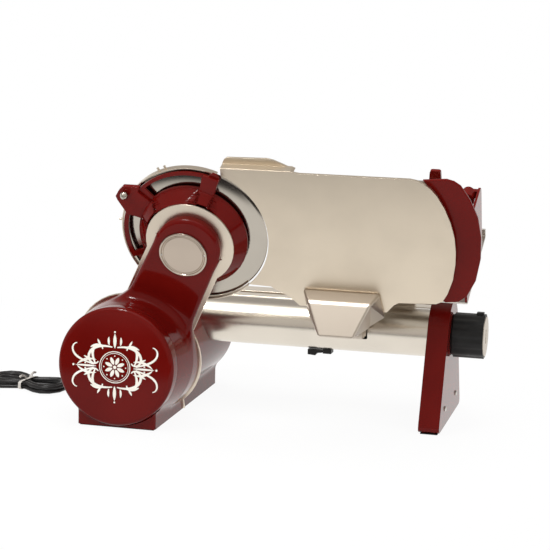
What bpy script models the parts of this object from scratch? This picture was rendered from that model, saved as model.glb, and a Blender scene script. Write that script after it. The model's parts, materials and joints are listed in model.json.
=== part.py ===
"""Electric gravity meat slicer with a 220 mm blade, modelled as an assembly of its separate pieces.

Row frame: metres, +Z up, +X along the beam towards the thickness dial, -Y towards the side where
slices leave. The origin is the centre of the motor foot's underside.

The blade, its guards, the thickness plate and the carriage lie square to a tilted plane. They are
modelled in that plane's own frame: x along the beam, v up the plane, d out of it on the slice side.
"""
import math

import bmesh
import bpy
from mathutils import Matrix, Vector

# Driving dimensions, in metres and degrees
GAP = 0.0003
BLADE_TILT_DEG = 22.5
BLADE_CENTRE = (0.102, -0.105, 0.2935)
BLADE_R = 0.110
BLADE_THICK = 0.0035
BLADE_BEVEL_R = 0.084
BLADE_EDGE = 0.0004

HOUSING_X = 0.0005
HOUSING_Z = 0.095
HOUSING_R = 0.090
HOUSING_FLARE_R = HOUSING_R + 0.0062
HOUSING_REAR_R = HOUSING_R - 0.004
HOUSING_REAR_Y = 0.185
HOUSING_WALL = 0.004
CAP_FRONT_Y = -0.175
CAP_BACK_Y = -0.150
CAP_RIM = 0.0065
FOOT_HALF_X = 0.061
FOOT_HALF_Y = 0.165
PAD_THICK = 0.0015

COVER_HUB_R = 0.0490
COVER_HALF_W = 0.0527
COVER_FRONT_D = 0.049
COVER_WALL = 0.003
COVER_ROUND = 0.0055
ARM_FLARE = 0.009
TRIM_FRONT_D = 0.035
TRIM_THICK = 0.003
TRIM_HUB_R = 0.0671
TRIM_HALF_W = 0.0572
TRIM_BARREL_R = HOUSING_FLARE_R + 0.0033
TRIM_FOOT_EDGE = 0.0022
TRIM_BAND = 0.0085
TRIM_FLARE = 0.005
TRAY_BACK_D = 0.0118
TRAY_WALL = 0.003
TRAY_HALF_W = 0.0545
CONE_FOOT_R = 0.0829
FLANGE_DEPTH = 0.010

GUARD_BACK_D = 0.0075
RING_IN_R = 0.1112
RING_OUT_R = 0.1128
RING_START_DEG = 67.5
RING_BACK_D = -0.0015

MOTOR_X = -0.1015
MOTOR_V = -0.215
MOTOR_R = 0.045
MOTOR_LEN = 0.095
PULLEY_BLADE_R = 0.036
PULLEY_MOTOR_R = 0.012
PULLEY_WIDTH = 0.010
PULLEY_BACK_D = 0.0200
SHAFT_R = 0.0062
BEARING_R = 0.0155

TUBE_Y = 0.055
TUBE_Z = 0.135
TUBE_R = 0.037
TUBE_WALL = 0.003
TUBE_LEFT_X = 0.061
LEG_LEFT_X = 0.438
LEG_THICK = 0.032
LEG_TOP_R = 0.0527
LEG_BASE_HALF = 0.111
KNOB_R = 0.0345
KNOB_RIGHT_X = 0.520
DIAL_SHAFT_R = 0.006
DIAL_RANGE_DEG = 300.0
PLATE_TRAVEL = 0.015
CAM_LOW_R = 0.015

PLATE_THICK = 0.004
PLATE_D = 0.0005
PLATE_ARC_R = 0.1122
PLATE_LEFT_X = 0.048
LIP_SETBACK = 0.013
LIP_HIGH_V = 0.125
LEDGE_V = 0.1112
SHEET_THICK = 0.0025

BRACKET_X = 0.2257
STEM_HALF_W = 0.014
STEM_LOW_Z = 0.128
STEM_HIGH_Z = 0.144
BLOCK_BACK_Y = 0.010
BLOCK_BACK_LOW_Z = 0.140
BLOCK_BACK_HIGH_Z = 0.172
SLOT_HALF_LEN = 0.046
SLOT_SHIFT = 0.0237
SLOT_HALF_H = 0.0185
SLOT_TURN_DEG = -5.0

BED_Z = 0.1700
BED_THICK = 0.004
BED_REAR_Y = 0.160
NECK_Y = 0.111
NECK_THICK = 0.011
ROD_Z = 0.146
ROD_R = 0.007
SLIDER_X0 = 0.345
SLIDER_LEN = 0.060

FLOOR_V = -0.098
FLOOR_X0 = 0.135
FLOOR_X1 = 0.4035
FLOOR_W0 = 0.0095
FLOOR_W1 = 0.205
WALL_X0 = 0.3995
WALL_TOP_V = 0.012
WALL_W1 = 0.168
GUARD_PLATE_W0 = 0.004
GUARD_PLATE_THICK = 0.005

PUSH_ROD_X = 0.384
PUSH_ROD_V = 0.000
PUSH_ROD_R = 0.005
PUSH_PLATE_W = 0.148
PUSH_PLATE_X0 = 0.165
PUSH_PLATE_X1 = PUSH_ROD_X - 0.039
PUSH_PLATE_LOW_V = -0.090
PUSH_PLATE_HIGH_V = 0.025

CORD_R = 0.003
CORD_LIFT = 0.0004
HANK_CENTRE = (-0.222, 0.040)
HANK_TURN_DEG = -12.0
HANK_HALF_LEN = 0.057
HANK_END = 0.0065
HANK_LOBE = 0.0101
HANK_WAIST = 0.0050
HANK_STEP_LEN = 0.0084
HANK_STEP_WAIST = 0.0086
HANK_STEP_LOBE = 0.0040
HANK_STEP_END = 0.0008
HANK_LAYER = 0.0070
HANK_LOWER_TURNS = 2.0
HANK_UPPER_TURNS = 1.9
HANK_START_DEG = 38.0
HANK_POINTS = 24
RUN_BEND_R = 0.032

SEG = 56


# Scene, collections and materials

for old in list(bpy.data.objects):
    bpy.data.objects.remove(old, do_unlink=True)

PARTS = bpy.data.collections.new("meat_slicer")
CUTTERS = bpy.data.collections.new("cutters")
for each_collection in (PARTS, CUTTERS):
    bpy.context.scene.collection.children.link(each_collection)


def material(name, colour, roughness, metallic):
    """A Principled material with one colour, roughness and metallic value."""
    made = bpy.data.materials.new(name)
    made.use_nodes = True
    shader = made.node_tree.nodes["Principled BSDF"]
    shader.inputs["Base Color"].default_value = (*colour, 1.0)
    shader.inputs["Roughness"].default_value = roughness
    shader.inputs["Metallic"].default_value = metallic
    return made


def red_paint(name):
    return material(name, (0.16, 0.006, 0.006), 0.12, 0.0)


def satin_steel(name):
    return material(name, (0.62, 0.55, 0.46), 0.32, 1.0)


def bright_steel(name):
    return material(name, (0.70, 0.68, 0.65), 0.14, 1.0)


def black_plastic(name):
    return material(name, (0.012, 0.012, 0.012), 0.35, 0.0)


# Frames: a rotation that stands each working plane in the row frame

def frame_empty(name, location, rotation_deg):
    """An empty that carries pieces modelled in its own axes."""
    empty = bpy.data.objects.new(name, None)
    empty.location = location
    empty.rotation_euler = [math.radians(angle) for angle in rotation_deg]
    PARTS.objects.link(empty)
    return empty


TILT = frame_empty("blade_plane", BLADE_CENTRE, (90 + BLADE_TILT_DEG, 0, 0))
BARREL = frame_empty("barrel_axis", (HOUSING_X, 0, HOUSING_Z), (90, 0, 0))
BEAM = frame_empty("beam_axis", (0, TUBE_Y, TUBE_Z), (0, 90, 0))
SIDE = frame_empty("side_plane", (0, 0, 0), (90, 0, 90))
LEVEL = frame_empty("level_plane", (0, 0, 0), (0, 0, 0))
bpy.context.view_layer.update()


def tilt_of(y, z):
    """(v, d) in the blade plane's frame of a point (y, z) of the row frame."""
    tilt = math.radians(BLADE_TILT_DEG)
    dy, dz = y - BLADE_CENTRE[1], z - BLADE_CENTRE[2]
    return -dy * math.sin(tilt) + dz * math.cos(tilt), -dy * math.cos(tilt) - dz * math.sin(tilt)


def row_of(v, d):
    """(y, z) in the row frame of a point (v, d) of the blade plane's frame."""
    tilt = math.radians(BLADE_TILT_DEG)
    return (BLADE_CENTRE[1] - v * math.sin(tilt) - d * math.cos(tilt),
            BLADE_CENTRE[2] + v * math.cos(tilt) - d * math.sin(tilt))


# Shapes

def add(name, data, frame, paint=None, place=(0, 0, 0), turn_deg=(0, 0, 0), cutter=False):
    """Links a new object in a frame, as a part with its material or as a hidden cutter."""
    obj = bpy.data.objects.new(name, data)
    obj.parent = frame
    obj.location = place
    obj.rotation_euler = [math.radians(angle) for angle in turn_deg]
    (CUTTERS if cutter else PARTS).objects.link(obj)
    if cutter:
        obj.hide_render = True
        obj.display_type = "WIRE"
    elif paint:
        obj.data.materials.append(paint(name + "_paint"))
    return obj


def arc(cx, cy, radius, start_deg, end_deg, count):
    """Points along a circular arc, both ends included."""
    step = (end_deg - start_deg) / count
    angles = [math.radians(start_deg + step * index) for index in range(count + 1)]
    return [(cx + radius * math.cos(angle), cy + radius * math.sin(angle)) for angle in angles]


def rounded(points, radii, count=4):
    """A closed outline whose corners are rounded, each by its own radius."""
    outline = []
    total = len(points)
    for index, corner in enumerate(points):
        radius = radii[index] if isinstance(radii, (list, tuple)) else radii
        here = Vector(corner)
        before = (Vector(points[index - 1]) - here)
        after = (Vector(points[(index + 1) % total]) - here)
        if radius <= 0:
            outline.append(tuple(here))
            continue
        half = before.angle(after) / 2
        reach = min(radius / math.tan(half), before.length * 0.49, after.length * 0.49)
        start, end = here + before.normalized() * reach, here + after.normalized() * reach
        for step in range(count + 1):
            t = step / count
            outline.append(tuple(start * (1 - t) ** 2 + here * 2 * t * (1 - t) + end * t ** 2))
    return outline


def flat_mesh(name, outlines, thickness):
    """The mesh of a flat piece: a filled 2D curve of one or more closed outlines, extruded both ways."""
    curve = bpy.data.curves.new(name, "CURVE")
    curve.dimensions = "2D"
    curve.fill_mode = "BOTH"
    curve.extrude = thickness / 2
    for outline in outlines:
        spline = curve.splines.new("POLY")
        spline.points.add(len(outline) - 1)
        for point, (x, y) in zip(spline.points, outline):
            point.co = (x, y, 0, 1)
        spline.use_cyclic_u = True
    holder = bpy.data.objects.new(name + "_curve", curve)
    bpy.context.scene.collection.objects.link(holder)
    mesh = as_mesh(holder)
    mesh.name = name
    return mesh


def as_mesh(holder):
    """A welded mesh of an object as the viewport shows it; the object is removed."""
    graph = bpy.context.evaluated_depsgraph_get()
    mesh = bpy.data.meshes.new_from_object(holder.evaluated_get(graph))
    build = bmesh.new()
    build.from_mesh(mesh)
    bmesh.ops.remove_doubles(build, verts=build.verts, dist=1e-5)
    bmesh.ops.recalc_face_normals(build, faces=build.faces)
    build.to_mesh(mesh)
    build.free()
    bpy.data.objects.remove(holder, do_unlink=True)
    return mesh


def plate(name, outlines, low, high, frame, paint=None, cutter=False, bevel=0.0, segments=2):
    """A flat piece between two heights of its frame, with rounded edges where bevel is given."""
    mesh = flat_mesh(name, outlines, high - low)
    mesh.transform(Matrix.Translation((0, 0, (low + high) / 2)))
    piece = add(name, mesh, frame, paint, cutter=cutter)
    if bevel:
        round_edges(piece, bevel, segments)
    return piece


def box_mesh(name, low, high):
    """The mesh of a box between two corners."""
    mesh = bpy.data.meshes.new(name)
    build = bmesh.new()
    size = [high[axis] - low[axis] for axis in range(3)]
    centre = [(high[axis] + low[axis]) / 2 for axis in range(3)]
    bmesh.ops.create_cube(build, size=1.0, matrix=Matrix.Translation(centre) @ Matrix.Diagonal((*size, 1)))
    build.to_mesh(mesh)
    build.free()
    return mesh


def box(name, low, high, frame, paint=None, cutter=False, bevel=0.0, segments=2):
    """A box between two corners of its frame, with rounded edges where bevel is given."""
    piece = add(name, box_mesh(name, low, high), frame, paint, cutter=cutter)
    if bevel:
        round_edges(piece, bevel, segments)
    return piece


def round_edges(piece, width, segments):
    """A Bevel on the piece's sharp edges."""
    bevel = piece.modifiers.new("rounded_edges", "BEVEL")
    bevel.width = width
    bevel.segments = segments
    bevel.limit_method = "ANGLE"
    bevel.angle_limit = math.radians(40)


def lathe(name, profile, frame, paint=None, place=(0, 0, 0), closed=False, steps=SEG, cutter=False,
          turn_deg=(0, 0, 0)):
    """A turned piece: its (radius, height) profile runs down the outer side; closed keeps a bore."""
    mesh = bpy.data.meshes.new(name)
    verts = [(radius, 0, height) for radius, height in profile]
    edges = [(index, index + 1) for index in range(len(profile) - 1)]
    if closed:
        edges.append((len(profile) - 1, 0))
    mesh.from_pydata(verts, edges, [])
    piece = add(name, mesh, frame, paint, place, turn_deg, cutter)
    screw = piece.modifiers.new("turn", "SCREW")
    screw.steps = steps
    screw.render_steps = steps
    screw.use_merge_vertices = True
    screw.merge_threshold = 0.00001
    return piece


def rod(name, radius, low, high, frame, paint=None, place=(0, 0, 0), steps=24, cutter=False,
        turn_deg=(0, 0, 0)):
    """A plain round bar along its frame's third axis."""
    profile = [(0, high), (radius, high), (radius, low), (0, low)]
    return lathe(name, profile, frame, paint, place, steps=steps, cutter=cutter, turn_deg=turn_deg)


def ring(name, inner, outer, low, high, frame, paint=None, place=(0, 0, 0), steps=SEG, cutter=False,
         turn_deg=(0, 0, 0)):
    """A plain ring along its frame's third axis."""
    profile = [(inner, high), (outer, high), (outer, low), (inner, low)]
    return lathe(name, profile, frame, paint, place, True, steps, cutter, turn_deg)


def combine(piece, other, operation):
    """One EXACT Boolean on the piece."""
    boolean = piece.modifiers.new(operation.lower() + "_" + other.name, "BOOLEAN")
    boolean.operation = operation
    boolean.object = other
    boolean.solver = "EXACT"


def cut(piece, *cutters):
    for cutter in cutters:
        combine(piece, cutter, "DIFFERENCE")


def join(piece, *others):
    for other in others:
        combine(piece, other, "UNION")


def keep(piece, other):
    combine(piece, other, "INTERSECT")


def gathered(name, makers):
    """One cutter that holds several separate solids, to join or cut them all at once."""
    joined = bmesh.new()
    for maker in makers:
        holder = maker()
        bpy.context.view_layer.update()
        world = holder.matrix_world.copy()
        mesh = as_mesh(holder)
        mesh.transform(world)
        joined.from_mesh(mesh)
        bpy.data.meshes.remove(mesh)
    mesh = bpy.data.meshes.new(name)
    joined.to_mesh(mesh)
    joined.free()
    return add(name, mesh, LEVEL, cutter=True)


def screws(name, frame, places, radius, height, turn_deg=(0, 0, 0)):
    """A set of equal screws with domed heads, one object each, seated at places."""
    profile = [(0, height), (radius * 0.75, height * 0.85), (radius, height * 0.35), (radius, 0), (0, 0)]
    for index, place in enumerate(places):
        lathe("%s_%d" % (name, index + 1), profile, frame, bright_steel, place, steps=12, turn_deg=turn_deg)


# Outlines in the blade plane, x along the beam and v up the plane

ARM_LENGTH = math.hypot(MOTOR_X, MOTOR_V)
ARM_ANGLE = math.degrees(math.atan2(MOTOR_V, MOTOR_X))
ALONG = Vector((MOTOR_X, MOTOR_V)).normalized()
ACROSS = Vector((-ALONG.y, ALONG.x))


def arm_outline(hub_radius, half_width, length, flare=ARM_FLARE, count=30):
    """The hub circle run into an arm whose left side flares out until it ends square at length."""
    spread = math.degrees(math.asin(min(1.0, half_width / hub_radius)))
    hub = arc(0, 0, hub_radius, ARM_ANGLE + spread, ARM_ANGLE + 360 - spread, count)
    end = ALONG * length
    return hub + [tuple(end - ACROSS * (half_width + flare)), tuple(end + ACROSS * half_width)]


def barrel_ellipse(radius, d, count=48):
    """Where the level barrel of that radius crosses the plane at depth d."""
    tilt = math.radians(BLADE_TILT_DEG)
    centre_v = (HOUSING_Z - BLADE_CENTRE[2] + d * math.sin(tilt)) / math.cos(tilt)
    centre_x = HOUSING_X - BLADE_CENTRE[0]
    return [(centre_x + radius * math.cos(2 * math.pi * step / count),
             centre_v + radius / math.cos(tilt) * math.sin(2 * math.pi * step / count))
            for step in range(count)]


def foot_outline(half_width, d):
    """Where the foot crosses the plane at depth d, from its underside up into the barrel."""
    tilt = math.radians(BLADE_TILT_DEG)
    low_v = (PAD_THICK + GAP - BLADE_CENTRE[2] + d * math.sin(tilt)) / math.cos(tilt)
    high_v = (HOUSING_Z - 0.035 - BLADE_CENTRE[2] + d * math.sin(tilt)) / math.cos(tilt)
    centre_x = HOUSING_X - BLADE_CENTRE[0]
    return [(centre_x - half_width, low_v), (centre_x + half_width, low_v),
            (centre_x + half_width, high_v), (centre_x - half_width, high_v)]


def plane_slab(name, low, high):
    """A large slab of the blade plane between two depths, for cutting housings along it."""
    return box(name, (-0.35, -0.45, low), (0.35, 0.25, high), TILT, cutter=True)


def below_foot(name):
    """Everything under the castings' flat underside, for cutting what bulges below it."""
    return box(name, (-0.3, -0.5, -0.2), (0.3, 0.5, PAD_THICK + GAP), LEVEL, cutter=True)


# Motor housing, arm and foot

def barrel_shell(name, radius, front, back):
    """A level barrel between two row-frame y values, for cutting and joining."""
    profile = [(0, -front), (radius, -front), (radius, -back), (0, -back)]
    return lathe(name, profile, BARREL, steps=SEG, cutter=True)


def front_housing():
    """The cast front half: arm cover, flared barrel front and front foot, open towards the trim."""
    back_y = 0.02
    trim_top_y = row_of(-0.10, TRIM_FRONT_D)[0]
    flare = lathe("front_housing", [(0, -CAP_BACK_Y - GAP), (HOUSING_R, -CAP_BACK_Y - GAP),
                                    (HOUSING_FLARE_R, -trim_top_y - 0.012), (HOUSING_FLARE_R, -back_y),
                                    (0, -back_y)], BARREL, red_paint)
    arm = plate("front_arm_body", [arm_outline(COVER_HUB_R, COVER_HALF_W, ARM_LENGTH - 0.030)],
                0.004, COVER_FRONT_D, TILT, cutter=True, bevel=COVER_ROUND, segments=3)
    foot = box("front_foot_body", (-FOOT_HALF_X, -FOOT_HALF_Y, PAD_THICK + GAP),
               (FOOT_HALF_X, 0.05, HOUSING_Z - 0.04), LEVEL, cutter=True, bevel=0.004)
    join(flare, arm, foot)
    keep(flare, plane_slab("front_side", TRIM_FRONT_D + GAP, 0.35))
    barrel_room = lathe("front_barrel_room", [(0, -CAP_BACK_Y + 0.01), (HOUSING_R - 0.012, -CAP_BACK_Y + 0.01),
                                              (HOUSING_R - 0.012, -CAP_BACK_Y - 0.006),
                                              (HOUSING_R - HOUSING_WALL, -CAP_BACK_Y - 0.006),
                                              (HOUSING_R - HOUSING_WALL, -0.04), (0, -0.04)],
                        BARREL, cutter=True)
    arm_room = plate("front_arm_room", [arm_outline(COVER_HUB_R - COVER_WALL - 0.002,
                                                    COVER_HALF_W - COVER_WALL - 0.002, ARM_LENGTH - 0.04)],
                     0.0, COVER_FRONT_D - COVER_WALL, TILT, cutter=True)
    cap_room = rod("cap_room", HOUSING_R + GAP, -CAP_BACK_Y - 0.0002, -CAP_BACK_Y + 0.1, BARREL, steps=SEG,
                   cutter=True)
    cut(flare, barrel_room, arm_room, cap_room, below_foot("front_underside"))
    return flare


def motor_cap():
    """The round front cap, a hollow turned shell with a rounded rim."""
    rim = [(HOUSING_R - CAP_RIM + CAP_RIM * math.sin(math.radians(angle)),
            -CAP_FRONT_Y - CAP_RIM + CAP_RIM * math.cos(math.radians(angle))) for angle in range(0, 91, 18)]
    inner = HOUSING_R - HOUSING_WALL
    profile = [(0, -CAP_FRONT_Y)] + rim + [(HOUSING_R, -CAP_BACK_Y), (inner, -CAP_BACK_Y),
                                           (inner, -CAP_FRONT_Y - 0.006), (0, -CAP_FRONT_Y - 0.006)]
    return lathe("motor_cap", profile, BARREL, red_paint, steps=SEG)


def trim_frame():
    """The bright frame clamped along the joint: ring, arm edges, barrel band and foot edges."""
    low, high = TRIM_FRONT_D - TRIM_THICK, TRIM_FRONT_D
    middle = (low + high) / 2
    frame = plate("trim_frame", [arm_outline(TRIM_HUB_R, TRIM_HALF_W, ARM_LENGTH - 0.03, TRIM_FLARE)], low, high, TILT,
                  satin_steel)
    barrel = plate("trim_barrel", [barrel_ellipse(TRIM_BARREL_R, middle)], low, high, TILT, cutter=True)
    foot = plate("trim_foot", [foot_outline(FOOT_HALF_X + TRIM_FOOT_EDGE, middle)], low, high, TILT, cutter=True)
    join(frame, barrel, foot)
    hole_low, hole_high = low - 0.01, high + 0.01
    arm_hole = plate("trim_arm_hole", [arm_outline(COVER_HUB_R - 0.006, COVER_HALF_W - 0.006, ARM_LENGTH - 0.03)],
                     hole_low, hole_high, TILT, cutter=True)
    barrel_hole = plate("trim_barrel_hole", [barrel_ellipse(HOUSING_R - TRIM_BAND, middle)],
                        hole_low, hole_high, TILT, cutter=True)
    cut(frame, arm_hole, barrel_hole, below_foot("trim_underside"))
    return frame


def rear_housing():
    """The rear casting: hub cone, arm tray, barrel with its closed end, flange and rear foot."""
    front_d = TRIM_FRONT_D - TRIM_THICK - GAP
    top_round = 0.010
    profile = [(0, 0.12), (HOUSING_REAR_R, 0.12), (HOUSING_REAR_R, -HOUSING_REAR_Y + top_round),
               (HOUSING_REAR_R - top_round * 0.3, -HOUSING_REAR_Y + top_round * 0.3),
               (HOUSING_REAR_R - top_round, -HOUSING_REAR_Y), (0, -HOUSING_REAR_Y)]
    body = lathe("rear_housing", profile, BARREL, red_paint)
    flange = barrel_shell("rear_flange", HOUSING_FLARE_R, -0.14, 0.06)
    keep(flange, plane_slab("flange_slab", front_d - FLANGE_DEPTH, front_d + 0.001))
    arm = plate("rear_arm_body", [arm_outline(TRIM_HUB_R - 0.004, TRAY_HALF_W, ARM_LENGTH - 0.03, TRIM_FLARE)],
                TRAY_BACK_D + GAP, TRIM_FRONT_D + 0.01, TILT, cutter=True, bevel=0.0015, segments=1)
    cone = lathe("hub_cone", [(0, TRIM_FRONT_D), (TRIM_HUB_R - 0.001, TRIM_FRONT_D),
                              (TRIM_HUB_R - 0.001, front_d - 0.0005), (CONE_FOOT_R, TRAY_BACK_D + 0.002),
                              (CONE_FOOT_R, TRAY_BACK_D + GAP), (0, TRAY_BACK_D + GAP)], TILT, cutter=True)
    foot = box("rear_foot_body", (-FOOT_HALF_X, -0.05, PAD_THICK + GAP),
               (FOOT_HALF_X, FOOT_HALF_Y, HOUSING_Z - 0.04), LEVEL, cutter=True, bevel=0.004)
    join(body, flange, arm, cone, foot)
    keep(body, plane_slab("rear_side", -0.45, front_d))
    barrel_room = lathe("rear_barrel_room", [(0, 0.13), (HOUSING_REAR_R - HOUSING_WALL, 0.13),
                                             (HOUSING_REAR_R - HOUSING_WALL, -HOUSING_REAR_Y + 0.006),
                                             (0, -HOUSING_REAR_Y + 0.006)], BARREL, cutter=True)
    keep(barrel_room, plane_slab("barrel_room_slab", -0.45, front_d + 0.002))
    arm_room = plate("rear_arm_room", [arm_outline(TRIM_HUB_R - 0.009, TRAY_HALF_W - TRAY_WALL, ARM_LENGTH - 0.03,
                                                  TRIM_FLARE)],
                     TRAY_BACK_D + TRAY_WALL, front_d + 0.02, TILT, cutter=True)
    cut(body, barrel_room, arm_room)
    boss = rod("bearing_boss", BEARING_R + 0.0035, TRAY_BACK_D + 0.001, PULLEY_BACK_D - 0.0010, TILT,
               steps=32, cutter=True)
    join(body, boss)
    bore = rod("bearing_bore", BEARING_R + GAP, TRAY_BACK_D - 0.002, PULLEY_BACK_D + 0.001, TILT, steps=32,
               cutter=True)
    tube_hole = rod("tube_hole", TUBE_R + GAP, 0.02, 0.12, BEAM, steps=SEG, cutter=True)
    rod_hole = rod("rod_hole", ROD_R + GAP, 0.02, 0.12, LEVEL, place=(0, NECK_Y, ROD_Z), turn_deg=(0, 90, 0),
                   cutter=True)
    relief_hole = rod("relief_hole", 0.0063, -0.24, -0.15, LEVEL, place=(RELIEF_X, 0, RELIEF_Z),
                      turn_deg=(90, 0, 0), steps=20, cutter=True)
    cut(body, bore, tube_hole, rod_hole, relief_hole, below_foot("rear_underside"))
    for index in range(4):
        height = HOUSING_Z - 0.024 + index * 0.014
        slot = box("vent_%d" % (index + 1), (-0.030, HOUSING_REAR_Y - 0.02, height),
                   (0.030, HOUSING_REAR_Y + 0.01, height + 0.004), LEVEL, cutter=True)
        cut(body, slot)
    return body


def feet():
    """Rubber pads under the motor foot and the leg."""
    edge = 0.003
    box("foot_pad", (-FOOT_HALF_X + edge, -FOOT_HALF_Y + edge, 0),
        (FOOT_HALF_X - edge, FOOT_HALF_Y - edge, PAD_THICK), LEVEL, black_plastic)
    box("leg_pad", (LEG_LEFT_X + edge, TUBE_Y - LEG_BASE_HALF + 0.008, 0),
        (LEG_LEFT_X + LEG_THICK - edge, TUBE_Y + LEG_BASE_HALF - 0.008, PAD_THICK), LEVEL, black_plastic)


# Drive: motor, pulleys, belt and bearing

def drive():
    """The motor on its plate, the belt and the blade's bearing, all inside the housings."""
    plate_low = TRAY_BACK_D + GAP
    outline = [point for point in barrel_ellipse(HOUSING_REAR_R - HOUSING_WALL - 3 * GAP, plate_low + 0.0015, SEG)
               if point[1] < -0.158]
    holder = plate("motor_plate", [outline], plate_low, plate_low + 0.003, TILT, bright_steel)
    cut(holder, rod("motor_plate_hole", 0.012, 0, 0.05, TILT, place=(MOTOR_X, MOTOR_V, 0), steps=24, cutter=True))
    high = plate_low - GAP
    low = high - MOTOR_LEN
    profile = [(0, high), (MOTOR_R, high), (MOTOR_R, high - 0.020), (MOTOR_R - 0.004, high - 0.022),
               (MOTOR_R - 0.004, low + 0.022), (MOTOR_R, low + 0.020), (MOTOR_R, low), (0, low)]
    motor = lathe("motor_body", profile, TILT, bright_steel, place=(MOTOR_X, MOTOR_V, 0), steps=40)
    cut(motor, rod("motor_bore", SHAFT_R + GAP, high - 0.012, high + 0.002, TILT, place=(MOTOR_X, MOTOR_V, 0),
                   cutter=True))
    rod("motor_shaft", SHAFT_R, high - 0.0115, PULLEY_BACK_D + PULLEY_WIDTH + 0.002, TILT, bright_steel,
        place=(MOTOR_X, MOTOR_V, 0), steps=20)
    pulley("motor_pulley", PULLEY_MOTOR_R, (MOTOR_X, MOTOR_V, 0), 32)
    pulley("blade_pulley", PULLEY_BLADE_R, (0, 0, 0), 48)
    belt()
    ring("blade_bearing", SHAFT_R + GAP, BEARING_R, TRAY_BACK_D + 0.0006, PULLEY_BACK_D - 0.0014, TILT,
         bright_steel, steps=32)


def pulley(name, radius, place, steps):
    """A flanged pulley whose bore fits its shaft."""
    low, high, lip = PULLEY_BACK_D, PULLEY_BACK_D + PULLEY_WIDTH, 0.001
    profile = [(SHAFT_R + GAP, high), (radius + 0.002, high), (radius + 0.002, high - lip), (radius, high - lip),
               (radius, low + lip), (radius + 0.002, low + lip), (radius + 0.002, low), (SHAFT_R + GAP, low)]
    return lathe(name, profile, TILT, black_plastic, place=place, closed=True, steps=steps)


def belt_outline(extra):
    """The belt's path round both pulleys at that distance outside their rims."""
    big, small = PULLEY_BLADE_R + extra, PULLEY_MOTOR_R + extra
    lean = math.degrees(math.asin((big - small) / ARM_LENGTH))
    first = arc(0, 0, big, ARM_ANGLE + 90 - lean, ARM_ANGLE + 270 + lean, 30)
    second = arc(MOTOR_X, MOTOR_V, small, ARM_ANGLE - 90 + lean, ARM_ANGLE + 90 - lean, 12)
    return first + second


def belt():
    margin = 0.0013
    plate("drive_belt", [belt_outline(0.0022), belt_outline(0.0005)], PULLEY_BACK_D + margin,
          PULLEY_BACK_D + PULLEY_WIDTH - margin, TILT, black_plastic)


# Blade and its guards

def blade():
    """The hollow-ground round blade, bevelled on the slice side, with its shaft and screws."""
    bore = SHAFT_R + GAP
    profile = [(bore, BLADE_THICK), (BLADE_BEVEL_R, BLADE_THICK), (BLADE_R, BLADE_EDGE), (BLADE_R, 0),
               (BLADE_BEVEL_R, 0), (BLADE_BEVEL_R - 0.002, 0.0008), (0.034, 0.0008), (0.032, 0), (bore, 0)]
    lathe("blade", profile, TILT, bright_steel, closed=True, steps=72)
    flange_low = BLADE_THICK + GAP
    profile = [(0, PULLEY_BACK_D + PULLEY_WIDTH + 0.003), (SHAFT_R, PULLEY_BACK_D + PULLEY_WIDTH + 0.003),
               (SHAFT_R, flange_low + 0.003), (0.028, flange_low + 0.003), (0.028, flange_low),
               (SHAFT_R, flange_low), (SHAFT_R, 0.0004), (0, 0.0004)]
    lathe("blade_shaft", profile, TILT, bright_steel, steps=36)
    places = [(x, v, -GAP) for x, v in arc(0, 0, 0.019, 90, 330, 2)]
    screws("blade_screw", TILT, places, 0.004, 0.0016, (180, 0, 0))


def guard_outline():
    """The red guard's outer edge: hub disc below, spokes and a partial rim above, and the ear."""
    ear = [(-0.1005, 0.0395), (-0.1132, 0.0590), (-0.1150, 0.0640), (-0.1082, 0.0745), (-0.1010, 0.0838),
           (-0.0745, 0.0838), (-0.0730, 0.0795)]
    rim_start = arc(0, 0, RING_IN_R, 64.5, 65, 1) + arc(0, 0, RING_OUT_R + 0.0022, RING_START_DEG, 70.5, 1)
    rim = arc(0, 0, 0.1082, 72, 130, 18)
    lower_rim = arc(0, 0, 0.1082, 160, 203, 14)
    hub = arc(0, 0, CONE_FOOT_R - 0.0008, 203, 360 + 62, 36)
    return rim_start + rim + list(reversed(ear)) + lower_rim + hub


def window(inner, outer, start_deg, end_deg, count):
    """A curved window between two radii and two angles."""
    return arc(0, 0, outer, start_deg, end_deg, count) + arc(0, 0, inner, end_deg, start_deg, count)


def guards():
    """The red spoked guard, the bright ring round the blade's edge, and what fastens them."""
    windows = [window(0.0862, 0.1010, 89, 131, 12), window(0.0862, 0.1030, 161, 198, 10)]
    shaft_hole = arc(0, 0, 0.0100, 0, 337.5, 15)
    plate("blade_guard", [guard_outline()] + windows + [shaft_hole], GUARD_BACK_D + GAP, TRAY_BACK_D, TILT,
          red_paint)
    sweep = window(RING_IN_R, RING_OUT_R, RING_START_DEG, 312, 60)
    rim_ring = plate("ring_guard", [sweep], RING_BACK_D, GUARD_BACK_D, TILT, satin_steel)
    ball = [(0.0062 * math.cos(math.radians(angle)), 0.0063 + 0.0062 * math.sin(math.radians(angle)))
            for angle in (60, 30, 0, -30, -60)]
    profile = [(0, 0.0125)] + ball + [(0.0035, GAP), (0, GAP)]
    lathe("guard_bolt", profile, TILT, bright_steel, place=(-0.0920, 0.0755, TRAY_BACK_D), steps=20)
    studs = [lambda a=angle: radial_stud(a) for angle in (108, 113.5, 171)]
    join(rim_ring, gathered("ring_studs", studs))


def radial_stud(angle):
    """A small pin that stands out of the ring guard along its radius."""
    direction = Vector((math.cos(math.radians(angle)), math.sin(math.radians(angle)), 0))
    stud = rod("stud", 0.0019, RING_OUT_R - 0.001, RING_OUT_R + 0.0055, TILT, place=(0, 0, 0.003), steps=10)
    stud.rotation_mode = "QUATERNION"
    stud.rotation_quaternion = direction.to_track_quat("Z", "Y")
    return stud


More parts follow.
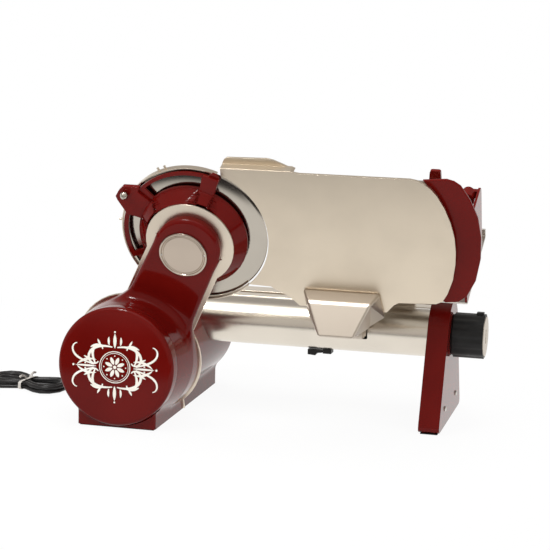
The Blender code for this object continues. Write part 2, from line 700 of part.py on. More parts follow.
def badge():
    """The blank round badge on the arm cover."""
    seat = COVER_FRONT_D + GAP
    centre = (-0.0066, -0.0092, seat)
    profile = [(0, 0.0022), (0.0312, 0.0022), (0.0322, 0.0028), (0.0354, 0.0028), (0.0367, 0.0014), (0.0367, 0),
               (0, 0)]
    lathe("badge", profile, TILT, bright_steel, place=centre, steps=48)


# Beam: tube, leg and bed

def tube():
    """The aluminium beam tube with its long slot for the plate's stem."""
    profile = [(TUBE_R - TUBE_WALL, LEG_LEFT_X - GAP), (TUBE_R, LEG_LEFT_X - GAP), (TUBE_R, TUBE_LEFT_X),
               (TUBE_R - TUBE_WALL, TUBE_LEFT_X)]
    beam = lathe("beam_tube", profile, BEAM, satin_steel, closed=True)
    slot_x = BRACKET_X + BLADE_CENTRE[0] - SLOT_SHIFT
    ends = SLOT_HALF_LEN - SLOT_HALF_H
    outline = (arc(ends, 0, SLOT_HALF_H, -90, 90, 10) + arc(-ends, 0, SLOT_HALF_H, 90, 270, 10))
    turned = frame_empty("slot_plane", (slot_x, TUBE_Y, TUBE_Z), (90 - SLOT_TURN_DEG, 0, 0))
    bpy.context.view_layer.update()
    cut(beam, plate("tube_slot", [outline], 0.005, 0.06, turned, cutter=True))
    return beam


def leg_outline(shrink=0.0):
    """The leg's A-shaped side view: a round head over two straight sloping sides."""
    radius = LEG_TOP_R - shrink
    half = LEG_BASE_HALF - shrink
    base = PAD_THICK + GAP
    drop = TUBE_Z - base
    reach = math.hypot(half, drop)
    lean = math.degrees(math.atan2(half, drop))
    start = -90 + lean + math.degrees(math.acos(radius / reach))
    head = arc(TUBE_Y, TUBE_Z, radius, start, 180 - start, 20)
    return [(TUBE_Y - half, base), (TUBE_Y + half, base)] + head


def leg():
    """The red end leg, bored for the dial's shaft."""
    outline = leg_outline()
    radii = [0.010, 0.010] + [0] * (len(outline) - 2)
    body = plate("leg", [rounded(outline, radii)], LEG_LEFT_X, LEG_LEFT_X + LEG_THICK, SIDE, red_paint,
                 bevel=0.004, segments=2)
    bore = rod("leg_bore", DIAL_SHAFT_R + GAP, LEG_LEFT_X - 0.01, LEG_LEFT_X + LEG_THICK + 0.01, BEAM, cutter=True)
    cut(body, bore)
    return body


def bed():
    """Two flat strips behind the tube; the carriage's neck runs in the slot between them."""
    low = BED_Z - BED_THICK
    right = LEG_LEFT_X - GAP
    front_y = TUBE_Y + math.sqrt(TUBE_R ** 2 - (low - TUBE_Z) ** 2) + GAP
    slot = NECK_THICK / 2 + 0.0025
    beside_barrel = HOUSING_X + math.sqrt(HOUSING_REAR_R ** 2 - (low - HOUSING_Z) ** 2)
    box("bed_front", (beside_barrel + 0.0015, front_y, low), (right, NECK_Y - slot, BED_Z), LEVEL, satin_steel)
    outline = [(NECK_Y + slot, low), (NECK_Y + slot, BED_Z), (BED_REAR_Y, BED_Z), (BED_REAR_Y, ROD_Z - 0.016),
               (BED_REAR_Y - BED_THICK, ROD_Z - 0.016), (BED_REAR_Y - BED_THICK, low)]
    drop = ROD_Z - 0.016 - HOUSING_Z
    left = HOUSING_X + math.sqrt(HOUSING_REAR_R ** 2 - drop ** 2) + GAP
    plate("bed_rear", [outline], left, right, SIDE, satin_steel)
    rod("slide_rod", ROD_R, 0.0560, right, LEVEL, bright_steel, place=(0, NECK_Y, ROD_Z), turn_deg=(0, 90, 0),
        steps=24)


# Thickness plate and dial

def gauge_plate():
    """The thickness plate with its concave edge round the blade and the joggled lip on top."""
    edge_x = PLATE_LEFT_X + GAP
    left_start = math.degrees(math.asin(0.0821 / PLATE_ARC_R))
    left = arc(0, 0, PLATE_ARC_R, math.degrees(math.acos(edge_x / PLATE_ARC_R)), -left_start, 24)
    step_x = 0.160
    outline = left + [(0.1098, -0.0836), (0.1394, -0.1007), (0.1523, -0.1139), (0.2847, -0.1157),
                      (0.2960, -0.1024), (0.3031, -0.0978), (0.3327, -0.0962), (0.3592, -0.0951),
                      (0.3690, -0.0900), (0.3765, -0.0765), (0.3848, -0.0521), (0.3890, -0.0250),
                      (0.3900, -0.0050), (0.3885, 0.0200), (0.3835, 0.0430), (0.3750, 0.0670),
                      (0.3646, 0.0862), (0.3560, 0.0970), (0.3465, 0.1045), (0.3370, 0.1090), (0.3270, 0.1110),
                      (step_x + 0.006, 0.1110)]
    top_v = LEDGE_V + SHEET_THICK - GAP
    ledge = [(step_x, LEDGE_V + 0.0006), (step_x - 0.008, top_v), (edge_x, top_v)]
    high = PLATE_D + PLATE_THICK
    body = plate("gauge_plate", [outline + ledge], PLATE_D, high, TILT, satin_steel)
    shelf = [(PLATE_LEFT_X, LEDGE_V), (step_x - 0.003, LEDGE_V), (step_x - 0.008, LEDGE_V + SHEET_THICK),
             (PLATE_LEFT_X, LEDGE_V + SHEET_THICK)]
    shelf_piece = plate("plate_shelf", [shelf], -LIP_SETBACK, high - 0.001, TILT, cutter=True)
    base_v = LEDGE_V + 0.0005
    lip = [(PLATE_LEFT_X, base_v), (0.1505, base_v), (0.1477, LIP_HIGH_V - 0.0122), (0.1339, LIP_HIGH_V - 0.0060),
           (0.1250, LIP_HIGH_V - 0.0022), (0.1158, LIP_HIGH_V), (0.0560, LIP_HIGH_V - 0.0012),
           (0.0510, LIP_HIGH_V - 0.0045), (PLATE_LEFT_X, LIP_HIGH_V - 0.0105)]
    lip_piece = plate("plate_lip", [lip], -LIP_SETBACK - 0.0005, -LIP_SETBACK + SHEET_THICK, TILT, cutter=True)
    join(body, shelf_piece, lip_piece)
    return body


def gauge_bracket():
    """The cast block under the plate, lofted between its two sides, with the forked stem into the tube."""
    seat_d = PLATE_D + PLATE_THICK + GAP
    under_v = -0.1180
    back_low = tilt_of(BLOCK_BACK_Y, BLOCK_BACK_LOW_Z)
    back_high = tilt_of(BLOCK_BACK_Y, BLOCK_BACK_HIGH_Z)
    section = [(-0.0750, seat_d, 0.0555), (-0.0799, 0.0331, 0.0465), (-0.1208, 0.0717, 0.0240),
               (*back_low, 0.0270), (*back_high, 0.0320), (under_v, seat_d - 0.012, 0.0500),
               (under_v, seat_d, 0.0520)]
    mesh = bpy.data.meshes.new("gauge_bracket")
    build = bmesh.new()
    ends = []
    for side in (-1, 1):
        ends.append([build.verts.new((BRACKET_X + side * half, v, d)) for v, d, half in section])
    build.faces.new(ends[0])
    build.faces.new(list(reversed(ends[1])))
    for index in range(len(section)):
        after = (index + 1) % len(section)
        build.faces.new((ends[0][index], ends[1][index], ends[1][after], ends[0][after]))
    bmesh.ops.triangulate(build, faces=build.faces)
    bmesh.ops.recalc_face_normals(build, faces=build.faces)
    build.to_mesh(mesh)
    build.free()
    body = add("gauge_bracket", mesh, TILT, satin_steel)
    stem_x = BRACKET_X + BLADE_CENTRE[0]
    stem = box("plate_stem", (stem_x - STEM_HALF_W, BLOCK_BACK_Y - 0.030, STEM_LOW_Z),
               (stem_x + STEM_HALF_W, TUBE_Y - DIAL_SHAFT_R - 0.002, STEM_HIGH_Z), LEVEL, cutter=True)
    join(body, stem)
    cut(body, box("cam_room", (stem_x - 0.0085, TUBE_Y - CAM_LOW_R - GAP, STEM_LOW_Z - 0.01),
                  (stem_x + 0.0085, TUBE_Y + 0.01, STEM_HIGH_Z + 0.01), LEVEL, cutter=True))
    return body


def dial():
    """The fluted thickness knob, its grey end face, its shaft and the spiral cam in the tube."""
    low, high = LEG_LEFT_X + LEG_THICK + GAP, KNOB_RIGHT_X
    flutes = []
    count = 12
    for index in range(count * 6):
        angle = 2 * math.pi * index / (count * 6)
        radius = KNOB_R - 0.0016 * (index % 6 == 0) - 0.0008 * (index % 6 in (1, 5))
        flutes.append((radius * math.cos(angle), radius * math.sin(angle)))
    knob = plate("dial_knob", [flutes], low + 0.0025, high, BEAM, black_plastic)
    skirt = rod("knob_skirt", KNOB_R - 0.003, low, low + 0.004, BEAM, steps=48, cutter=True)
    tab = box("knob_tab", (-KNOB_R - 0.003, -0.005, high - 0.014), (-KNOB_R + 0.004, 0.005, high - 0.003), BEAM,
              cutter=True)
    join(knob, skirt, tab)
    cap_seat = high - 0.003
    cut(knob, rod("knob_seat", KNOB_R - 0.0035, cap_seat, high + 0.01, BEAM, steps=48, cutter=True),
        rod("knob_bore", DIAL_SHAFT_R + GAP, low - 0.01, low + 0.030, BEAM, cutter=True))
    cap = rod("dial_cap", KNOB_R - 0.0038, cap_seat + GAP, high + 0.001, BEAM, satin_steel, steps=48)
    cut(cap, box("cap_slot", (-0.011, -0.0042, high - 0.0010), (0.011, 0.0042, high + 0.01), BEAM, cutter=True))
    cam_x = BRACKET_X + BLADE_CENTRE[0]
    rod("dial_shaft", DIAL_SHAFT_R, cam_x - 0.040, low + 0.0295, BEAM, bright_steel, steps=20)
    spiral = []
    rise = PLATE_TRAVEL * math.cos(math.radians(BLADE_TILT_DEG))
    for turned in range(-25, 306, 6):
        radius = CAM_LOW_R - GAP + rise * max(0.0, turned) / DIAL_RANGE_DEG
        angle = math.radians(-90 - turned)
        spiral.append((radius * math.cos(angle), radius * math.sin(angle)))
    cam = plate("spiral_cam", [spiral], cam_x - 0.0035, cam_x + 0.0035, BEAM, bright_steel)
    cut(cam, rod("cam_bore", DIAL_SHAFT_R + GAP, cam_x - 0.01, cam_x + 0.01, BEAM, steps=20, cutter=True))


# Carriage: floor, end wall, thumb guard, neck and slider

def carriage_floor():
    """The tray floor, square to the blade plane, with a low rear edge."""
    x0, x1 = FLOOR_X0, FLOOR_X1
    floor = box("carriage_floor", (x0, FLOOR_V - 0.003, -FLOOR_W1), (x1, FLOOR_V, -FLOOR_W0), TILT, satin_steel)
    rear = box("floor_rear_edge", (x0, FLOOR_V - 0.0015, -FLOOR_W1 - 0.0015), (x1, FLOOR_V + 0.012, -FLOOR_W1 + 0.0015),
               TILT, cutter=True)
    join(floor, rear)
    return floor


def end_wall():
    """The red wall at the carriage's right end, with the two lugs that hold the pusher's rod."""
    low_v = FLOOR_V + GAP
    outline = rounded([(-0.0095, low_v), (-0.0095, 0.080), (-0.020, 0.080), (-0.033, WALL_TOP_V),
                       (-WALL_W1, WALL_TOP_V), (-WALL_W1, low_v)], [0.001, 0.005, 0.006, 0.010, 0.012, 0.001], 3)
    turned = frame_empty("wall_plane", (0, 0, 0), (0, 90, 0))
    turned.parent = TILT
    bpy.context.view_layer.update()
    flipped = [(-w, v) for w, v in outline]
    wall = plate("end_wall", [flipped], WALL_X0, WALL_X0 + 0.0037, turned, red_paint)
    for label, w in (("front", 0.0100), ("rear", WALL_W1 - 0.0095)):
        lug = rod("rod_lug_" + label, PUSH_ROD_R + 0.0045, -w - 0.0085, -w, TILT,
                  place=(PUSH_ROD_X, PUSH_ROD_V, 0), steps=24, cutter=True)
        web = box("rod_web_" + label, (PUSH_ROD_X, PUSH_ROD_V - 0.006, -w - 0.0085),
                  (WALL_X0 + 0.001, PUSH_ROD_V + 0.006, -w), TILT, cutter=True)
        join(wall, lug, web)
    cut(wall, rod("pusher_rod_hole", PUSH_ROD_R + GAP, -0.2, 0.0, TILT, place=(PUSH_ROD_X, PUSH_ROD_V, 0),
                  cutter=True))
    return wall


def thumb_guard():
    """The red crescent that shields the hand at the carriage's right end."""
    outer = [(0.3716, -0.0970), (0.3909, -0.0946), (0.4039, -0.0834), (0.4170, -0.0562), (0.4245, -0.0190),
             (0.4256, 0.0174), (0.4213, 0.0494), (0.4109, 0.0771), (0.3974, 0.0995), (0.3880, 0.1060),
             (0.3776, 0.1090), (0.3430, 0.1060)]
    inner = [(0.3600, 0.0850), (0.3720, 0.0560), (0.3780, 0.0250), (0.3800, -0.0050), (0.3780, -0.0400),
             (0.3690, -0.0740), (0.3600, -0.0900)]
    low = -GUARD_PLATE_W0 - GUARD_PLATE_THICK
    return plate("thumb_guard", [outer + inner], low, -GUARD_PLATE_W0, TILT, red_paint)


def carriage_support():
    """The neck under the floor and the slider that runs on the rod."""
    tilt = math.radians(BLADE_TILT_DEG)
    edge_y, edge_z = row_of(FLOOR_V - 0.003, -FLOOR_W0)
    slope = math.tan(tilt)

    def under(y):
        return edge_z + (y - edge_y) * slope - GAP / math.cos(tilt)

    front, back = NECK_Y - NECK_THICK / 2, NECK_Y + NECK_THICK / 2
    slider_top = ROD_Z + 0.0125
    reach = 0.045
    foot = ROD_Z + ROD_R + 0.0028
    outline = [(front, foot), (back, foot), (back, under(back)), (reach, under(reach)),
               (reach, under(reach) - 0.006), (front, under(front) - 0.045)]
    plate("carriage_neck", [outline], SLIDER_X0 + 0.004, SLIDER_X0 + SLIDER_LEN - 0.004, SIDE, satin_steel)
    slider = box("slider", (SLIDER_X0, NECK_Y - 0.0135, ROD_Z - 0.0125),
                 (SLIDER_X0 + SLIDER_LEN, NECK_Y + 0.0135, slider_top), LEVEL, black_plastic, bevel=0.002,
                 segments=1)
    cut(slider, rod("slider_bore", ROD_R + GAP, SLIDER_X0 - 0.01, SLIDER_X0 + SLIDER_LEN + 0.01, LEVEL,
                    place=(0, NECK_Y, ROD_Z), turn_deg=(0, 90, 0), cutter=True),
        box("slider_socket", (SLIDER_X0 + 0.004 - GAP, front - GAP, foot - GAP),
            (SLIDER_X0 + SLIDER_LEN - 0.004 + GAP, back + GAP, slider_top + 0.01), LEVEL, cutter=True))


# Pusher: rod, sleeve, arm with plate, and spikes

def pusher():
    """The product pusher, which slides along its rod and swings up about it."""
    rod("pusher_rod", PUSH_ROD_R, -WALL_W1 - 0.0005, -0.0100, TILT, bright_steel,
        place=(PUSH_ROD_X, PUSH_ROD_V, 0), steps=20)
    low, high = -PUSH_PLATE_W - 0.0095, -PUSH_PLATE_W + 0.0095
    ring("pusher_sleeve", PUSH_ROD_R + GAP, PUSH_ROD_R + 0.0025, low, high, TILT, bright_steel,
         place=(PUSH_ROD_X, PUSH_ROD_V, 0), steps=24)
    hub_in, hub_out = PUSH_ROD_R + 0.0028, PUSH_ROD_R + 0.0070
    body = rod("pusher_hub", hub_out, low + 0.001, high - 0.001, TILT, place=(PUSH_ROD_X, PUSH_ROD_V, 0),
               steps=32, cutter=True)
    outline = rounded([(PUSH_PLATE_X0, PUSH_PLATE_LOW_V), (PUSH_PLATE_X1, PUSH_PLATE_LOW_V),
                       (PUSH_PLATE_X1, PUSH_PLATE_HIGH_V), (PUSH_PLATE_X0, PUSH_PLATE_HIGH_V)],
                      [0.030, 0.012, 0.016, 0.030], 5)
    face = plate("pusher_plate", [outline], -PUSH_PLATE_W - 0.002, -PUSH_PLATE_W + 0.002, TILT, satin_steel)
    right = PUSH_PLATE_X1
    arm_outline_points = rounded([(PUSH_ROD_X, PUSH_ROD_V - 0.0095), (PUSH_ROD_X, PUSH_ROD_V + 0.0095),
                                  (right, 0.0180), (right - 0.0005, 0.0420), (right - 0.0170, 0.0420),
                                  (right - 0.0200, 0.0100), (right - 0.0750, -0.0120), (right - 0.0750, -0.0320),
                                  (right - 0.0150, -0.0250)],
                                 [0, 0, 0.006, 0.004, 0.004, 0.008, 0.008, 0.008, 0.010], 3)
    arm = plate("pusher_arm", [arm_outline_points], -PUSH_PLATE_W - 0.0093, -PUSH_PLATE_W - 0.0023, TILT, red_paint)
    join(arm, body)
    cut(arm, rod("pusher_hub_bore", hub_in, -0.3, 0.0, TILT, place=(PUSH_ROD_X, PUSH_ROD_V, 0), steps=24,
                 cutter=True))
    spikes = [lambda c=column, r=row: spike(c, r) for row in range(4) for column in range(8)]
    join(face, gathered("pusher_spikes", spikes))


def spike(column, row):
    """One four-sided spike on the pusher plate's face."""
    x = PUSH_PLATE_X0 + 0.025 + column * 0.0185
    v = PUSH_PLATE_LOW_V + 0.020 + row * 0.024
    base = -PUSH_PLATE_W + 0.0015
    return lathe("spike", [(0, base + 0.008), (0.0035, base), (0, base)], TILT, None, (x, v, 0), steps=4)


# Switch under the tube

def switch():
    """The black switch: a fixed block under the tube and the lever that rocks on it."""
    bottom = TUBE_Z - TUBE_R
    body = box("switch_block", (0.2675, TUBE_Y - 0.009, bottom - 0.0070), (0.2810, TUBE_Y + 0.009, bottom + 0.008),
               LEVEL, black_plastic)
    cut(body, rod("switch_seat", TUBE_R + GAP, 0.2, 0.35, BEAM, steps=SEG, cutter=True))
    outline = [(0.2430, bottom - 0.0015), (0.2430, bottom - 0.0100), (0.2555, bottom - 0.0110),
               (0.2575, bottom - 0.0070), (0.2668, bottom - 0.0060), (0.2668, bottom - 0.0025),
               (0.2575, bottom - 0.0015)]
    front = frame_empty("switch_plane", (0, TUBE_Y, 0), (90, 0, 0))
    bpy.context.view_layer.update()
    plate("switch_lever", [outline], -0.008, 0.008, front, black_plastic)


# Cord: relief, free run, hank with its tie, and plug

RELIEF_X = -0.030
RELIEF_Z = 0.034
RELIEF_LEN = 0.032


def smooth_route(points, spacing):
    """Points at even spacing along a Catmull-Rom curve through the given points."""
    fine = []
    padded = [points[0]] + points + [points[-1]]
    for index in range(1, len(padded) - 2):
        p0, p1, p2, p3 = (Vector(padded[index + offset]) for offset in (-1, 0, 1, 2))
        for step in range(20):
            t = step / 20
            fine.append(0.5 * ((2 * p1) + (p2 - p0) * t + (2 * p0 - 5 * p1 + 4 * p2 - p3) * t * t
                               + (3 * p1 - p0 - 3 * p2 + p3) * t ** 3))
    fine.append(Vector(points[-1]))
    total = sum((b - a).length for a, b in zip(fine, fine[1:]))
    count = max(2, round(total / spacing))
    result, walked, target = [fine[0]], 0.0, total / count
    for a, b in zip(fine, fine[1:]):
        length = (b - a).length
        while walked + length >= target * len(result) - 1e-9 and len(result) <= count:
            share = (target * len(result) - walked) / length
            result.append(a.lerp(b, min(1.0, share)))
        walked += length
    return result, total


def wire(name, points, radius, resolution, paint):
    """A round wire along a POLY spline."""
    curve = bpy.data.curves.new(name, "CURVE")
    curve.dimensions = "3D"
    curve.bevel_depth = radius
    curve.bevel_resolution = resolution
    curve.use_fill_caps = True
    spline = curve.splines.new("POLY")
    spline.points.add(len(points) - 1)
    for target, point in zip(spline.points, points):
        target.co = (*point, 1)
    return add(name, curve, LEVEL, paint)


def hank_point(turn, loops_out, height):
    """A point of the hank after that many turns, that many loops outside its inmost one."""
    angle = 2 * math.pi * turn + math.radians(HANK_START_DEG)
    end = HANK_END + HANK_STEP_END * loops_out
    length = HANK_HALF_LEN + HANK_STEP_LEN * loops_out - end
    lobe = HANK_LOBE + HANK_STEP_LOBE * loops_out
    width = HANK_WAIST + HANK_STEP_WAIST * loops_out + lobe
    x = length * math.cos(angle) + end * math.cos(3 * angle)
    y = width * math.sin(angle) + lobe * math.sin(3 * angle)
    turned = math.radians(HANK_TURN_DEG)
    return Vector((HANK_CENTRE[0] + x * math.cos(turned) - y * math.sin(turned),
                   HANK_CENTRE[1] + x * math.sin(turned) + y * math.cos(turned), height))


def hank_route():
    """The lower layer spirals in, climbs half a turn at the inside, and the upper layer spirals out."""
    total = HANK_LOWER_TURNS + 0.5 + HANK_UPPER_TURNS
    count = round(total * HANK_POINTS)
    low = CORD_R + CORD_LIFT
    points = []
    for index in range(count + 1):
        turn = total * index / count
        climbed = min(1.0, max(0.0, (turn - HANK_LOWER_TURNS) / 0.5))
        loops_out = max(HANK_LOWER_TURNS - turn, turn - HANK_LOWER_TURNS - 0.5, 0.0)
        height = low + HANK_LAYER * (3 * climbed ** 2 - 2 * climbed ** 3)
        points.append(hank_point(turn, loops_out, height))
    return points


def least_self_gap(points, radius, skip):
    """The least distance between a tube's surface and itself, on points at least skip apart."""
    least = 1.0
    for index, first in enumerate(points):
        for other in range(index + skip, len(points) - 1):
            a, b = points[other], points[other + 1]
            along = b - a
            share = max(0.0, min(1.0, (first - a).dot(along) / along.length_squared))
            least = min(least, (first - (a + along * share)).length)
    return least - 2 * radius


def cord():
    """The mains cord from the housing's back to its hank, with tie and plug."""
    seat = HOUSING_REAR_Y + GAP
    profile = [(0, 0.010), (0.0058, 0.010), (0.0058, 0), (0.0085, 0), (0.0085, -0.003),
               (0.0042, -RELIEF_LEN), (0, -RELIEF_LEN)]
    lathe("strain_relief", profile, BARREL, black_plastic, steps=20,
          place=(RELIEF_X - HOUSING_X, RELIEF_Z - HOUSING_Z, -seat))
    hank = hank_route()
    start = hank[0]
    heading = (hank[1] - hank[0]).normalized()
    exit_y = seat + RELIEF_LEN + GAP
    floor = CORD_R + CORD_LIFT
    lead = [start - heading * GAP, start - heading * (GAP + 2 * CORD_R), start - heading * 0.030]
    route = [(RELIEF_X, exit_y, RELIEF_Z), (RELIEF_X, exit_y + 0.012, RELIEF_Z - 0.0005),
             (RELIEF_X - 0.004, exit_y + 0.040, 0.020), (RELIEF_X - 0.020, exit_y + 0.068, floor + 0.001),
             (RELIEF_X - 0.055, exit_y + 0.082, floor), (RELIEF_X - 0.100, exit_y + 0.066, floor),
             (-0.150, 0.225, floor), (-0.130, 0.170, floor), (-0.110, 0.128, floor)]
    turn = lead[-1] + Vector((0, RUN_BEND_R, 0))
    route += [(turn.x + RUN_BEND_R * math.cos(math.radians(angle)), turn.y + RUN_BEND_R * math.sin(math.radians(angle)),
               floor) for angle in (0, -30, -60)]
    route = route + [tuple(point) for point in reversed(lead)]
    points, length = smooth_route([Vector(point) for point in route], 0.014)
    wire("cord_run", points, CORD_R, 2, black_plastic)
    wire("cord_hank", hank, CORD_R, 1, black_plastic)
    hank_length = sum((b - a).length for a, b in zip(hank, hank[1:]))
    print("cord free run %.3f m, hank %.3f m" % (length, hank_length))
    print("hank least self gap %.5f m" % least_self_gap(hank, CORD_R, HANK_POINTS // 3))
    tie()
    plug(hank)


def tie():
    """The light tie drawn round the hank's waist."""
    half = HANK_WAIST + HANK_LOWER_TURNS * HANK_STEP_WAIST + CORD_R
    height = 2 * CORD_R + CORD_LIFT + HANK_LAYER
    outer = rounded([(-half - 0.0018, 0.0001), (half + 0.0018, 0.0001), (half + 0.0018, height + 0.0015),
                     (-half - 0.0018, height + 0.0015)], 0.004, 3)
    inner = rounded([(-half - 0.0006, 0.00035), (half + 0.0006, 0.00035), (half + 0.0006, height + 0.0003),
                     (-half - 0.0006, height + 0.0003)], 0.003, 3)
    frame = frame_empty("tie_plane", (*HANK_CENTRE, 0), (90, 0, 90 + HANK_TURN_DEG))
    bpy.context.view_layer.update()
    plate("cord_tie", [outer, inner], -0.0025, 0.0025, frame, satin_steel)


def plug(hank):
    """A moulded two-pin plug that lies where the hank's outer end leaves it."""
    end = hank[-1]
    heading = (hank[-1] - hank[-2]).normalized()
    frame = frame_empty("plug_axis", end + heading * GAP, (0, 0, 0))
    frame.rotation_mode = "QUATERNION"
    frame.rotation_quaternion = heading.to_track_quat("Z", "Y")
    bpy.context.view_layer.update()
    profile = [(0, 0.046), (0.0088, 0.046), (0.0098, 0.044), (0.0098, 0.030), (0.0070, 0.020), (0.0042, 0.016),
               (0.0038, 0), (0, 0)]
    body = lathe("plug", profile, frame, black_plastic, steps=20)
    for side in (-1, 1):
        pin = rod("plug_pin_%d" % (side + 2), 0.0024, 0.045, 0.064, frame, place=(side * 0.0065, 0, 0), steps=12,
                  cutter=True)
        join(body, pin)
    return body


def small_screws():
    """Screws under the foot, through the leg and on the housing's closed end."""
    places = [(x, z, -HOUSING_REAR_Y - GAP) for x, z in arc(0, 0, 0.066, 90, 330, 2)]
    screws("housing_screw", BARREL, places, 0.0042, 0.0022, (180, 0, 0))
    right = LEG_LEFT_X + LEG_THICK + GAP
    places = [(TUBE_Y + side * 0.055, 0.030, right) for side in (-1, 1)]
    screws("leg_screw", SIDE, places, 0.0042, 0.0022)


def main():
    front_housing()
    motor_cap()
    trim_frame()
    rear_housing()
    feet()
    drive()
    blade()
    guards()
    badge()
    tube()
    leg()
    bed()
    gauge_plate()
    gauge_bracket()
    dial()
    carriage_floor()
    end_wall()
    thumb_guard()
    carriage_support()
    pusher()
    switch()
    cord()
    small_screws()
    for piece in PARTS.objects:
        if piece.type == "MESH":
            piece.data.shade_smooth()
            piece.data.set_sharp_from_angle(angle=math.radians(35))


main()
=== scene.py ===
"""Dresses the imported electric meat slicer: its castings, finishes, mains cord and studio.

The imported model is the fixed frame. Pieces are made in its row frame: metres, +Z up, +X along the
beam towards the thickness dial, -Y towards the side where slices leave.
"""
import json
import logging
import math
from dataclasses import dataclass, field
from enum import Enum
from typing import Callable, ClassVar, Dict, Iterable, List, Optional, Sequence, Tuple, Union

import bmesh
import bpy
import numpy as np
from mathutils import Matrix, Vector

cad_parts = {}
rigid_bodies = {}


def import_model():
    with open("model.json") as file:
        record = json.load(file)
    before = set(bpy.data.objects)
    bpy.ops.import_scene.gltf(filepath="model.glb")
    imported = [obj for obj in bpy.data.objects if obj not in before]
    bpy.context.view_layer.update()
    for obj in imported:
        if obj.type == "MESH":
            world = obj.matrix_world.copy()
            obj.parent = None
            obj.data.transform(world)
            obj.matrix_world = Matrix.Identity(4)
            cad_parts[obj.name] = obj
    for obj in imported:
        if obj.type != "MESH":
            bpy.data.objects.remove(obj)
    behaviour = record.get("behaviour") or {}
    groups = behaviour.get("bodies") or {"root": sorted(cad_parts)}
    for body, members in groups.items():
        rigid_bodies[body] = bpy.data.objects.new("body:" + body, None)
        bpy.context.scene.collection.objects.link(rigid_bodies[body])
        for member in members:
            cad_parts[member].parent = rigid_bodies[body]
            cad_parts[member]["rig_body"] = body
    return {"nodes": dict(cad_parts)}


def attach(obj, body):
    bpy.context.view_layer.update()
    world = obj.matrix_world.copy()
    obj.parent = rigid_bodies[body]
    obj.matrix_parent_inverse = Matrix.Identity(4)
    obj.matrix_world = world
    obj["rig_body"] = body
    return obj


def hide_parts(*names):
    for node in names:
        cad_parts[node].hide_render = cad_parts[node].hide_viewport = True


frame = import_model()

log = logging.getLogger("meat_slicer")

Colour = Tuple[float, float, float]
Point = Tuple[float, float, float]
Outline = List[Tuple[float, float]]
Rows = Tuple[Tuple[float, ...], ...]
Number = Union["Value", float]
Distance = Callable[[np.ndarray], np.ndarray]
Cut = Tuple[Vector, Vector, Optional[Callable[[Vector], bool]]]
Lumps = List[Tuple["Lump", Point, Matrix]]

TILT_DEG = 22.5
BLADE_CENTRE = Vector((0.102, -0.105, 0.2935))
SLOPE = math.radians(TILT_DEG)
ACROSS_X = Vector((1.0, 0.0, 0.0))
UP_PLANE = Vector((0.0, -math.sin(SLOPE), math.cos(SLOPE)))
OUT_OF_PLANE = Vector((0.0, -math.cos(SLOPE), -math.sin(SLOPE)))
BARREL_X = 0.0005
BARREL_Z = 0.095
BARREL_R = 0.090
FLARE_R = 0.0962
CAP_FRONT_Y = -0.175
CAP_BACK_Y = -0.150
UNDERSIDE_Z = 0.0018
MOTOR_X = -0.1015
MOTOR_V = -0.215
TRIM_FRONT = 0.035
TRIM_THICK = 0.003
TRAY_BACK = 0.0118
SEAM = 0.0003
COVER_FRONT = 0.049
CONE_FOOT_R = 0.0829


class Lump(Enum):
    """The rough forms that a casting is drawn from."""

    BOX = "box"
    DRUM = "drum"


class Grain(Enum):
    """How a metal surface was worked."""

    DRAWN = "drawn along the beam"
    TURNED = "turned about the blade's axis"
    ROLLED = "rolled up the plane"
    BLASTED = "blasted after casting"


# Shader expressions

class Value:
    """A socket of a shader tree; arithmetic on it adds Math nodes."""

    def __init__(self, shader: "Nodes", socket: bpy.types.NodeSocket) -> None:
        """Wraps one output socket of a tree."""
        self.shader = shader
        self.socket = socket

    def _math(self, operation: str, first: Number, second: Number) -> "Value":
        """One Math node on two values or numbers, by its operation."""
        return self.shader.value("ShaderNodeMath", {"operation": operation}, {0: first, 1: second})

    def __add__(self, other: Number) -> "Value":
        """The sum of both."""
        return self._math("ADD", self, other)

    __radd__ = __add__

    def __sub__(self, other: Number) -> "Value":
        """This value less the other."""
        return self._math("SUBTRACT", self, other)

    def __rsub__(self, other: Number) -> "Value":
        """The other less this value."""
        return self._math("SUBTRACT", other, self)

    def __mul__(self, other: Number) -> "Value":
        """The product of both."""
        return self._math("MULTIPLY", self, other)

    __rmul__ = __mul__

    def between(self, low: float, high: float) -> "Value":
        """How far the value lies from low to high, smoothed and held between 0 and 1."""
        return self.shader.value("ShaderNodeMapRange", {"interpolation_type": "SMOOTHSTEP", "clamp": True},
                                 {"Value": self, "From Min": low, "From Max": high})


